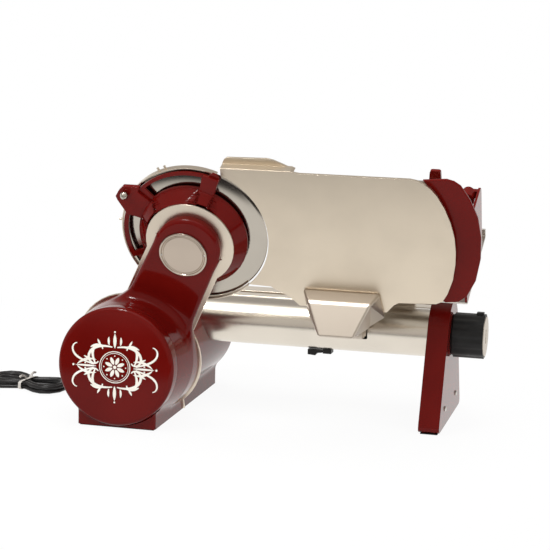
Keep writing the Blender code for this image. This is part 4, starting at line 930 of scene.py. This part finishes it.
@dataclass
class Ornament:
    """The light ornament printed on the cap: a rosette in a ring with leafy scrolls on four sides."""

    shop: Workshop
    lift: float = 0.00006
    thick: float = 0.00012
    step: float = 0.0000015
    scale: float = 1.10
    ring_r: float = 0.0215
    dots_r: float = 0.0155
    petal: Point = (0.0036, 0.0110, 0.0046)
    scrolls: Tuple[Tuple[Tuple[float, float], float, float, float, float, float], ...] = (
        ((0.0035, 0.0275), 12, 0.062, -1.0, -9.0, 1.0), ((0.0275, 0.0035), 62, 0.040, 1.2, 12.0, 1.0),
        ((0.030, 0.002), 20, 0.050, -0.3, 10.0, 0.8))
    leaves: Rows = ((0.008, 0.030, 75, 0.012, 0.0030), (0.034, 0.0095, 10, 0.011, 0.0028),
                    (0.020, 0.0300, 50, 0.009, 0.0028), (0.0535, 0.0010, 132, 0.030, 0.0034),
                    (0.0345, 0.0260, 150, 0.019, 0.0040))
    strokes: List[List[Outline]] = field(default_factory=list)

    def ribbon(self, points: Outline, widths: Sequence[float]) -> None:
        """A stroke of varying width.

        Args:
            points: Its centre line.
            widths: Its width at each point.
        """
        left, right = [], []
        for index, (x, z) in enumerate(points):
            before, after = points[max(index - 1, 0)], points[min(index + 1, len(points) - 1)]
            dx, dz = after[0] - before[0], after[1] - before[1]
            size = math.hypot(dx, dz) or 1.0
            half = widths[index] / 2
            left.append((x - dz / size * half, z + dx / size * half))
            right.append((x + dz / size * half, z - dx / size * half))
        self.strokes.append([[left[index], left[index + 1], right[index + 1], right[index]]
                             for index in range(len(points) - 1)])

    def four_ways(self, points: Outline, widths: Sequence[float]) -> None:
        """A stroke and its three mirror images.

        Args:
            points: Its centre line.
            widths: Its widths.
        """
        for side in (1, -1):
            for level in (1, -1):
                self.ribbon([(x * side, z * level) for x, z in points], widths)

    @staticmethod
    def scroll(start: Tuple[float, float], heading_deg: float, length: float, bend: float, more: float,
               count: int = 40) -> Outline:
        """A curve whose bend grows evenly along it.

        Args:
            start: Where it starts.
            heading_deg: Its first direction.
            length: Its length.
            bend: Its first bend, in degrees per millimetre.
            more: The bend that it has gained at its end.
            count: Its steps.

        Returns:
            Its points.
        """
        x, z = start
        heading = math.radians(heading_deg)
        step = length / count
        points = [(x, z)]
        for index in range(count):
            share = (index + 0.5) / count
            heading += math.radians(bend + more * share * share) * step * 1000
            x += math.cos(heading) * step
            z += math.sin(heading) * step
            points.append((x, z))
        return points

    def disc(self, x: float, z: float, radius: float) -> None:
        """A dot of that radius at x, z."""
        self.strokes.append([[(x + dx, z + dz) for dx, dz in arc(radius, 0, 360, 14)[:-1]]])

    def leaf(self, x: float, z: float, heading_deg: float, length: float, width: float,
             bend: float = 0.0) -> None:
        """A pointed leaf, and its mirror images where it bends.

        Args:
            x: Its foot.
            z: Its foot.
            heading_deg: Its direction.
            length: Its length.
            width: Its greatest width.
            bend: Its bend, in degrees per millimetre.
        """
        points = self.scroll((x, z), heading_deg, length, bend, 0.0, 12)
        draw = self.four_ways if bend else self.ribbon
        draw(points, [width * math.sin(math.pi * (0.04 + 0.96 * step / 12)) ** 0.8 for step in range(13)])

    def build(self) -> None:
        """Draws the motifs and lays them on the cap."""
        for radius, width in ((self.ring_r, 0.0011), (self.ring_r - 0.0024, 0.0006)):
            self.ribbon(arc(radius, 0, 360, 96), [width] * 97)
        foot, length, width = self.petal
        reach = [foot + length * step / 12 for step in range(13)]
        widths = [width * math.sin(math.pi * step / 12) ** 0.7 + 0.0003 for step in range(13)]
        for x, z in arc(1.0, 22.5, 337.5, 7):
            self.ribbon([(x * share, z * share) for share in reach], widths)
        self.disc(0, 0, 0.0024)
        for x, z in arc(self.dots_r, 0, 315, 7):
            self.disc(x, z, 0.0009)
        fade = [0.0029 * math.sin(math.pi * (0.08 + 0.84 * step / 40)) + 0.0008 for step in range(41)]
        for *curve, share in self.scrolls:
            self.four_ways(self.scroll(*curve), [width * share for width in fade])
        for leaf in self.leaves:
            self.leaf(*leaf, bend=2.0)
        for side in (1, -1):
            self.leaf(0.0, side * 0.0265, side * 90, 0.020, 0.0046)
            self.leaf(side * 0.0265, 0.0, 90 - side * 90, 0.030, 0.0028)
            self.disc(0.0, side * 0.0485, 0.0013)
            self.disc(side * 0.0590, 0.0, 0.0015)
            for level in (1, -1):
                self.disc(side * 0.0420, level * 0.0035, 0.0011)
        build = bmesh.new()
        for layer, stroke in enumerate(self.strokes):
            height = -CAP_FRONT_Y + self.lift + layer * self.step
            for outline in stroke:
                corners = [build.verts.new((x * self.scale, z * self.scale, height)) for x, z in outline]
                if len({(round(v.co.x, 7), round(v.co.y, 7)) for v in corners}) > 2:
                    build.faces.new(corners)
        bmesh.ops.remove_doubles(build, verts=build.verts, dist=1e-6)
        bmesh.ops.recalc_face_normals(build, faces=build.faces)
        mesh = closed_up(build, "cap_ornament")
        for polygon in mesh.polygons:
            if polygon.normal.z < 0:
                polygon.flip()
        solid = self.shop.applied(mesh, ("SOLIDIFY", {"thickness": self.thick, "offset": 1.0}))
        solid.transform(BARREL)
        self.shop.finish_piece("cap_ornament", solid, INK, "frame")


@dataclass
class BladeHead:
    """The blade, its spoked guard and the ring round its edge."""

    shop: Workshop
    radius: float = 0.110
    thick: float = 0.0035
    bevel_r: float = 0.084
    guard_back: float = 0.0078
    guard_front: float = 0.0165
    rim_r: float = 0.1084
    window_r: float = 0.0845
    plate_front: float = 0.0118
    edge: float = 0.0012
    ball_r: float = 0.0062
    bore_r: float = 0.0065
    land: float = 0.0012
    spokes: ClassVar[Rows] = ((70.0, 8.0), (145.0, 11.5))
    windows: Rows = ((0.1030, 78, 131), (0.1012, 159, 198))
    ear: Rows = ((-0.0993, 0.0350), (-0.1014, 0.0396), (-0.1116, 0.0585), (-0.1134, 0.0642),
                 (-0.1072, 0.0743), (-0.0999, 0.0815), (-0.0740, 0.0815), (-0.0776, 0.0730),
                 (-0.0530, 0.0510), (-0.0690, 0.0262))
    back: Rows = ((0.110, 0.0002), (0.110, 0), (0.084, 0), (0.082, 0.0008), (0.034, 0.0008), (0.032, 0),
                  (0.0065, 0))

    def guard(self) -> None:
        """The red guard: hub disc, rim with two windows, and the thick spokes, one with the bolted ear."""
        outline = [(0.0479, 0.1004)] + arc(0.1150, 67.5, 70.5, 2) + arc(self.rim_r, 73, 203, 64) \
            + arc(CONE_FOOT_R - 0.0008, 203, 422, 96)
        windows = [arc(hole, low, high) + arc(self.window_r, high, low)
                   for hole, low, high in self.windows]
        self.shop.flat("blade_guard_shell", [outline, arc(0.010, 0, 354, 59)] + windows, self.guard_back,
                       self.plate_front, 0.0008, RED, "frame", ("blade_guard",))
        rim_edge = arc(self.rim_r + SEAM, 66, 77, 8)
        spoke = [(0.0488, 0.0992)] + rim_edge + [(0.0138, 0.0725), (0.0345, 0.0660)]
        self.shop.flat("guard_spoke", [spoke], 0.0100, self.guard_front, self.edge, RED, "frame")
        self.shop.flat("guard_ear", [self.ear], 0.0082, self.guard_front, self.edge, RED, "frame")

    def bolt(self) -> None:
        """The polished ball head that holds the ear."""
        ball = [(x, self.ball_r + height + 0.0005) for x, height in arc(self.ball_r, 90, -60, 15)]
        where = PLANE @ Matrix.Translation((-0.0968, 0.0698, self.guard_front - 0.0002))
        self.shop.turned("guard_bolt_head", ball + [(0.0034, 0), (0, 0)], where, BLADE, "frame",
                         ("guard_bolt",), 48)

    def blade(self) -> None:
        """The hollow-ground blade with its cutting bevel."""
        grind = [(self.bevel_r + (self.radius - 0.0022 - self.bevel_r) * share,
                  self.thick - (self.thick - self.land) * share + 0.0004 * math.sin(math.pi * share))
                 for share in [step / 10 for step in range(11)]]
        profile = [(self.bore_r, self.thick)] + grind + list(self.back)
        self.shop.turned("blade_disc", profile, PLANE, BLADE, "blade", ("blade",), 192, True)

    def build(self) -> None:
        """Makes and dresses the head."""
        self.blade()
        self.guard()
        self.bolt()
        self.shop.soften(("ring_guard", TRIM, 0.0006, 3))
        self.shop.dress(TURNED, "blade_shaft", "blade_screw_1", "blade_screw_2", "blade_screw_3")


@dataclass
class Beam:
    """The beam tube with its bed, leg, thickness plate, dial and switch."""

    shop: Workshop
    tube_y: float = 0.055
    tube_z: float = 0.135
    tube_r: float = 0.037
    tube_wall: float = 0.003
    tube_edge: float = 0.0006
    tube_ends: Tuple[float, float] = (0.061, 0.4377)
    slot: Tuple[float, float, float, float] = (0.3275, 0.1343, 0.0155, 0.0098)
    slot_corner: float = 0.003
    slot_y: float = 0.015
    slot_depth: float = 0.06
    stem: Tuple[Point, Point] = ((0.3137, -0.015, 0.1310), (0.3417, 0.0455, 0.1420))
    block_rows: Rows = (
        (-0.0820, 0.0048, 0.1588, 0.2770), (-0.0862, 0.0330, 0.1714, 0.2679), (-0.1225, 0.0717, 0.1937, 0.2472),
        (-0.1830, -0.0486, 0.1957, 0.2457), (-0.1581, -0.0590, 0.1900, 0.2520),
        (-0.1180, -0.0072, 0.1700, 0.2720), (-0.1180, 0.0048, 0.1660, 0.2795))

    def tube(self) -> None:
        """The drawn tube with the slot that the plate's stem runs in."""
        low, high = self.tube_ends
        inner, outer, edge = self.tube_r - self.tube_wall, self.tube_r, self.tube_edge
        profile = [(inner, high), (outer - edge, high), (outer, high - edge),
                   (outer, low + edge), (outer - edge, low), (inner, low)]
        where = frame_of(Vector((0, self.tube_y, self.tube_z)), Vector((0, 0, -1)), Vector((0, 1, 0)))
        piece = self.shop.turned("beam_tube_shell", profile, where, TUBE, "frame", ("beam_tube",), 160, True)
        middle_x, middle_z, half_length, half_height = self.slot
        build = bmesh.new()
        block(build, (middle_x, self.slot_y, middle_z), (2 * half_length, self.slot_depth, 2 * half_height))
        corners = [edge for edge in build.edges if abs(edge.verts[0].co.y - edge.verts[1].co.y) > 0.01]
        bmesh.ops.bevel(build, geom=corners, offset=self.slot_corner, segments=8, affect="EDGES", profile=0.5)
        cutter = placed("slot_cutter", closed_up(build, "slot_cutter"))
        cut = {"operation": "DIFFERENCE", "object": cutter, "solver": "EXACT", "use_self": True}
        piece.data = self.shop.applied(piece.data, ("BOOLEAN", cut))
        bpy.data.objects.remove(cutter, do_unlink=True)

    def bracket(self) -> None:
        """The cast block under the plate with its broken edges, and the stem that it stands on."""
        build = bmesh.new()
        left = [build.verts.new((x0, v, d)) for v, d, x0, _ in self.block_rows]
        right = [build.verts.new((x1, v, d)) for v, d, _, x1 in self.block_rows]
        build.faces.new(left)
        build.faces.new(right[::-1])
        for index in range(len(left)):
            after = (index + 1) % len(left)
            build.faces.new((left[index], right[index], right[after], left[after]))
        bmesh.ops.recalc_face_normals(build, faces=build.faces)
        soft = self.shop.edged(closed_up(build, "gauge_bracket_shell"), 0.0042, 6, 12)
        soft.transform(PLANE)
        self.shop.even(self.shop.finish_piece("gauge_bracket_shell", soft, CAST, "thickness_plate",
                                              ("gauge_bracket",), 40))
        build = bmesh.new()
        low, high = map(Vector, self.stem)
        block(build, (low + high) / 2, high - low)
        stem = self.shop.edged(closed_up(build, "plate_stem"), 0.0010, 2, 40)
        self.shop.finish_piece("plate_stem", stem, CAST, "thickness_plate")

    def build(self) -> None:
        """Makes and dresses the beam."""
        self.tube()
        self.bracket()
        self.shop.soften(("leg", RED, 0.0012, 2), ("bed_front", TRIM, 0.0006, 2),
                         ("bed_rear", TRIM, 0.0006, 2), ("gauge_plate", PLATE, 0.0007, 3),
                         ("dial_knob", BLACK, 0.0006, 2), ("dial_cap", CAST, 0.0004, 2),
                         ("switch_block", BLACK, 0.0008, 3), ("switch_lever", BLACK, 0.0006, 3))
        self.shop.dress(TURNED, "slide_rod", "leg_screw_1", "leg_screw_2")
        self.shop.dress(PLAIN, "dial_shaft", "spiral_cam")
        self.shop.dress(RUBBER, "leg_pad")


@dataclass
class Carriage:
    """The carriage with its end wall, thumb guard, neck and pusher."""

    shop: Workshop

    def build(self) -> None:
        """Makes and dresses the carriage."""
        self.shop.soften(("carriage_floor", BRUSHED, 0.0008, 2), ("end_wall", RED, 0.0009, 3),
                         ("thumb_guard", RED, 0.0014, 4), ("carriage_neck", CAST, 0.0008, 3),
                         ("slider", BLACK, 0.0006, 2), ("pusher_arm", RED, 0.0008, 2))
        self.shop.dress(BRUSHED, "pusher_plate")
        self.shop.dress(TURNED, "pusher_rod", "pusher_sleeve")


@dataclass
class MainsCord:
    """The mains cord: gland, free run, tied hank and plug. Its route is the one in the part's source."""

    shop: Workshop
    radius: float = 0.003
    lift: float = 0.0004
    gland: Point = (-0.030, 0.1853, 0.034)
    gland_length: float = 0.032
    centre: Tuple[float, float] = (-0.222, 0.040)
    turn_deg: float = -12.0
    lower_turns: float = 2.0
    upper_turns: float = 1.9
    start_deg: float = 38.0
    layer: float = 0.0070
    end: float = 0.0065
    half_length: float = 0.057
    lobe: float = 0.0101
    waist: float = 0.0050
    step_end: float = 0.0008
    step_length: float = 0.0084
    step_lobe: float = 0.0040
    step_waist: float = 0.0086
    bend_r: float = 0.032
    fine_steps: int = 20
    kept_step: int = 5
    middle: Rows = ((-0.150, 0.225), (-0.130, 0.170), (-0.110, 0.128))
    tie_steps: int = 48
    tie_square: float = 0.45
    tie_pitch: float = 0.0014
    tie_thick: float = 0.0005
    tail_half: float = 0.0021
    tail_twist: float = 2.4

    def hank_point(self, turn: float, out: float, height: float) -> Vector:
        """A point of the hank.

        Args:
            turn: Turns from its start.
            out: Loops outside the inmost one.
            height: Its height.

        Returns:
            The point.
        """
        angle = math.tau * turn + math.radians(self.start_deg)
        end = self.end + self.step_end * out
        length = self.half_length + self.step_length * out - end
        lobe = self.lobe + self.step_lobe * out
        width = self.waist + self.step_waist * out + lobe
        x = length * math.cos(angle) + end * math.cos(3 * angle)
        y = width * math.sin(angle) + lobe * math.sin(3 * angle)
        turned = math.radians(self.turn_deg)
        return Vector((self.centre[0] + x * math.cos(turned) - y * math.sin(turned),
                       self.centre[1] + x * math.sin(turned) + y * math.cos(turned), height))

    def hank(self, per_turn: int = 24) -> List[Vector]:
        """The hank's points, spiralling in, up a layer and out again.

        Args:
            per_turn: Points in each turn.

        Returns:
            The points.
        """
        total = self.lower_turns + 0.5 + self.upper_turns
        count = round(total * per_turn)
        points = []
        for index in range(count + 1):
            turn = total * index / count
            climbed = min(1.0, max(0.0, (turn - self.lower_turns) / 0.5))
            out = max(self.lower_turns - turn, turn - self.lower_turns - 0.5, 0.0)
            height = self.radius + self.lift + self.layer * (3 * climbed ** 2 - 2 * climbed ** 3)
            points.append(self.hank_point(turn, out, height))
        return points

    def run(self, hank: List[Vector]) -> List[Vector]:
        """The free run from the gland to the hank.

        Args:
            hank: The hank's points.

        Returns:
            The run's points.
        """
        start = hank[0]
        heading = (hank[1] - hank[0]).normalized()
        x, seat, z = self.gland
        exit_y = seat + self.gland_length + SEAM
        floor = self.radius + self.lift
        route = [(x, exit_y, z), (x, exit_y + 0.012, z - 0.0005), (x - 0.004, exit_y + 0.040, 0.020),
                 (x - 0.020, exit_y + 0.068, floor + 0.001), (x - 0.055, exit_y + 0.082, floor),
                 (x - 0.100, exit_y + 0.066, floor)] + [(*point, floor) for point in self.middle]
        lead = [start - heading * length for length in (0.030, SEAM + 2 * self.radius, SEAM)]
        for turn in (0, -30, -60):
            bend = Vector((math.cos(math.radians(turn)), 1 + math.sin(math.radians(turn)), 0)) * self.bend_r
            route.append(tuple(lead[0] + bend))
        route += [tuple(point) for point in lead]
        padded = [Vector(point) for point in [route[0]] + route + [route[-1]]]
        fine: List[Vector] = []
        for index in range(1, len(padded) - 2):
            p0, p1, p2, p3 = padded[index - 1:index + 3]
            for step in range(self.fine_steps):
                t = step / self.fine_steps
                fine.append(0.5 * ((2 * p1) + (p2 - p0) * t + (2 * p0 - 5 * p1 + 4 * p2 - p3) * t * t
                                   + (3 * p1 - p0 - 3 * p2 + p3) * t ** 3))
        fine.append(padded[-1])
        return fine[::self.kept_step] + ([fine[-1]] if (len(fine) - 1) % self.kept_step else [])

    def cord(self) -> None:
        """The whole cord as one curve."""
        hank = self.hank()
        points = self.run(hank) + hank[1:]
        curve = bpy.data.curves.new("mains_cord", "CURVE")
        curve.dimensions = "3D"
        curve.bevel_depth = self.radius
        curve.bevel_resolution = 5
        curve.use_fill_caps = True
        spline = curve.splines.new("POLY")
        spline.points.add(len(points) - 1)
        for target, point in zip(spline.points, points):
            target.co = (*point, 1)
        spline.use_smooth = True
        curve.materials.append(Paints.of(FLEX))
        piece = placed("mains_cord", curve)
        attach(piece, "frame")
        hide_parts("cord_run", "cord_hank")
        length = sum((b - a).length for a, b in zip(points, points[1:]))
        log.info("mains_cord %.3f m long", length)
        2 * self.radius

    def tie(self) -> None:
        """The light paper tie drawn round the hank's waist, its two ends twisted together."""
        build = bmesh.new()
        half = self.waist + self.lower_turns * self.step_waist + self.radius + 0.0010
        height = 2 * self.radius + self.lift + self.layer + 0.0006
        loop = []
        for across, up in arc(1.0, 0, 360, self.tie_steps)[:-1]:
            loop.append((half * math.copysign(abs(across) ** self.tie_square, across),
                         height / 2 * (1 + math.copysign(abs(up) ** self.tie_square, up))))
        rows = []
        for row, crinkle in enumerate((0.0003, -0.0002, 0.0003, -0.0002, 0.0003), -2):
            offset = self.tie_pitch * row
            rows.append([build.verts.new((x, offset + 0.0003 * math.sin(step * 1.7 + offset * 900),
                                          max(0.0009, z + crinkle * 0.5))) for step, (x, z) in enumerate(loop)])
        for first, second in zip(rows, rows[1:]):
            for step in range(self.tie_steps):
                after = (step + 1) % self.tie_steps
                build.faces.new((first[step], first[after], second[after], second[step]))
        for side, lean in ((-1, 0.4), (1, -0.2)):
            strip = []
            for step in range(15):
                share = step / 14
                turn = self.tail_twist * share
                centre = Vector((0.004 * side + 0.016 * side * share, lean * 0.010 * share,
                                 height + 0.0012 + 0.006 * math.sin(turn)))
                wide = Vector((0, math.cos(turn * side), math.sin(turn * side))) * self.tail_half
                strip.append((build.verts.new(centre - wide), build.verts.new(centre + wide)))
            for first, second in zip(strip, strip[1:]):
                build.faces.new((first[0], first[1], second[1], second[0]))
        bmesh.ops.recalc_face_normals(build, faces=build.faces)
        band = closed_up(build, "tie_band")
        solid = self.shop.applied(band, ("SOLIDIFY", {"thickness": self.tie_thick, "offset": 1.0}),
                                  ("SUBSURF", {"levels": 1, "render_levels": 1}))
        solid.transform(Matrix.Translation((*self.centre, 0.0))
                        @ Matrix.Rotation(math.radians(90 + self.turn_deg), 4, "Z"))
        self.shop.finish_piece("tie_band", solid, PAPER, "frame", ("cord_tie",), 60)

    def build(self) -> None:
        """Makes and dresses the cord's pieces."""
        self.shop.softened("plug", FLEX, 0.0005, 3, name="plug_shell")
        self.shop.dress(FLEX, "strain_relief")
        self.tie()
        self.cord()


# Studio

@dataclass(frozen=True)
class Lamp:
    """A square soft lamp: where it hangs, what it points at, its side, its power and who sees it."""

    name: str
    place: Point
    aim: Point
    size: float
    watts: float
    lights: bool = True
    mirrored: bool = False

    def hang(self) -> None:
        """Puts the lamp in the scene; lights is for matt surfaces, mirrored for glossy ones."""
        data = bpy.data.lights.new(self.name, "AREA")
        data.size = self.size
        data.energy = self.watts
        lamp = placed(self.name, data)
        lamp.location = self.place
        lamp.visible_diffuse = self.lights
        lamp.visible_glossy = self.mirrored
        direction = Vector(self.aim) - Vector(self.place)
        lamp.rotation_euler = direction.to_track_quat("-Z", "Y").to_euler()


@dataclass
class Studio:
    """The floor, light and camera."""

    eye: Point = (0.8461, -2.6308, 0.6794)
    yaw_deg: float = 13.821
    pitch_deg: float = 9.645
    roll_deg: float = 1.395
    lens: float = 116.81
    floor_half: float = 30.0
    floor_z: float = -0.0003
    lamps: Tuple[Lamp, ...] = (
        Lamp("key", (-1.2, -1.6, 2.0), (0.1, -0.05, 0.15), 1.2, 30),
        Lamp("fill", (2.2, -1.2, 1.4), (0.15, 0, 0.15), 1.4, 16),
        Lamp("top", (0.1, 0.3, 2.4), (0.1, 0, 0.1), 1.6, 30),
        Lamp("spark", (-0.35, -0.80, 2.0), (0.05, -0.05, 0.15), 0.40, 26, lights=False, mirrored=True))

    def camera(self) -> None:
        """The camera at the photograph's angle."""
        yaw, pitch, roll = (math.radians(angle) for angle in (self.yaw_deg, self.pitch_deg, self.roll_deg))
        ahead = Vector((-math.sin(yaw) * math.cos(pitch), math.cos(yaw) * math.cos(pitch), -math.sin(pitch)))
        right = Vector((math.cos(yaw), math.sin(yaw), 0))
        up = right.cross(ahead)
        right_rolled = right * math.cos(roll) + up * math.sin(roll)
        up_rolled = up * math.cos(roll) - right * math.sin(roll)
        data = bpy.data.cameras.new("camera")
        data.lens = self.lens
        data.sensor_width = 36.0
        data.clip_end = 50.0
        camera = placed("camera", data)
        camera.matrix_world = frame_of(Vector(self.eye), right_rolled, up_rolled)
        bpy.context.scene.camera = camera

    def floor(self) -> None:
        """A plain white table that keeps a light shadow; its far front is dark where metal mirrors it."""
        build = bmesh.new()
        bmesh.ops.create_grid(build, x_segments=1, y_segments=1, size=self.floor_half)
        mesh = closed_up(build, "studio_floor")
        mesh.transform(Matrix.Translation((0, 0, self.floor_z)))
        shader = Shader("studio_floor", (0.86, 0.86, 0.85), 0.9)
        white = shader.value("ShaderNodeEmission", {}, {"Color": (1, 1, 1, 1)})
        depth = shader.value("ShaderNodeSeparateXYZ", {}, {0: shader.place()}, 1)
        dark = (1.0 - depth.between(-0.56, -0.47)) * depth.between(-1.15, -0.80)
        away = shader.vector("LENGTH", shader.place(), (0, 0, 0), "Value")
        far = shader.blend(depth.between(-1.6, -0.6), (0.50, 0.46, 0.43), (0.98, 0.97, 0.95))
        tone = shader.blend(dark, far, (0.03, 0.025, 0.025))
        mirrored = shader.value("ShaderNodeEmission", {}, {"Color": tone})
        seen = shader.rays("Is Camera Ray") * (0.93 + 0.07 * away.between(0.35, 0.90))
        lit = Value(shader, shader.surface.outputs[0])
        plain = shader.value("ShaderNodeMixShader", {}, {0: seen, 1: lit, 2: white})
        glossy = shader.rays("Is Glossy Ray")
        whole = shader.value("ShaderNodeMixShader", {}, {0: glossy, 1: plain, 2: mirrored})
        shader.tree.links.new(whole.socket, shader.tree.nodes["Material Output"].inputs["Surface"])
        mesh.materials.append(shader.material)
        placed("studio_floor", mesh)

    def world(self) -> None:
        """White behind the object, and a dimmer room in front of it for the metal to mirror."""
        world = bpy.data.worlds.new("studio")
        bpy.context.scene.world = world
        world.use_nodes = True
        room = Nodes(world.node_tree)
        way = room.value("ShaderNodeTexCoord", output="Generated")
        level = room.value("ShaderNodeSeparateXYZ", {}, {0: way}, 2)
        behind = room.value("ShaderNodeSeparateXYZ", {}, {0: way}, 1).between(-0.15, 0.15)
        front = room.blend(level.between(0.68, 0.83), (0.60, 0.57, 0.53), (1.45, 1.42, 1.38))
        wall = room.blend(level.between(0.20, 0.40), (1.0, 0.99, 0.97), (0.38, 0.36, 0.34))
        shown = room.blend(behind, front, wall)
        tone = room.blend(room.rays("Is Glossy Ray"), (0.62, 0.62, 0.62), shown)
        colour = room.blend(room.rays("Is Camera Ray"), tone, (1.0, 1.0, 1.0))
        room.tree.links.new(colour.socket, room.tree.nodes["Background"].inputs["Color"])

    def build(self) -> None:
        """Sets the whole studio."""
        self.camera()
        self.floor()
        self.world()
        for lamp in self.lamps:
            lamp.hang()
        bpy.context.scene.view_settings.view_transform = "Standard"


def main() -> None:
    """Builds the slicer's dress and its studio."""
    logging.basicConfig(level=logging.INFO, format="%(message)s")
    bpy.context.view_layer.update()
    shop = Workshop()
    Studio().build()
    MainsCord(shop).build()
    MotorUnit(shop).build()
    BladeHead(shop).build()
    Beam(shop).build()
    Carriage(shop).build()


if __name__ == "__main__":
    main()
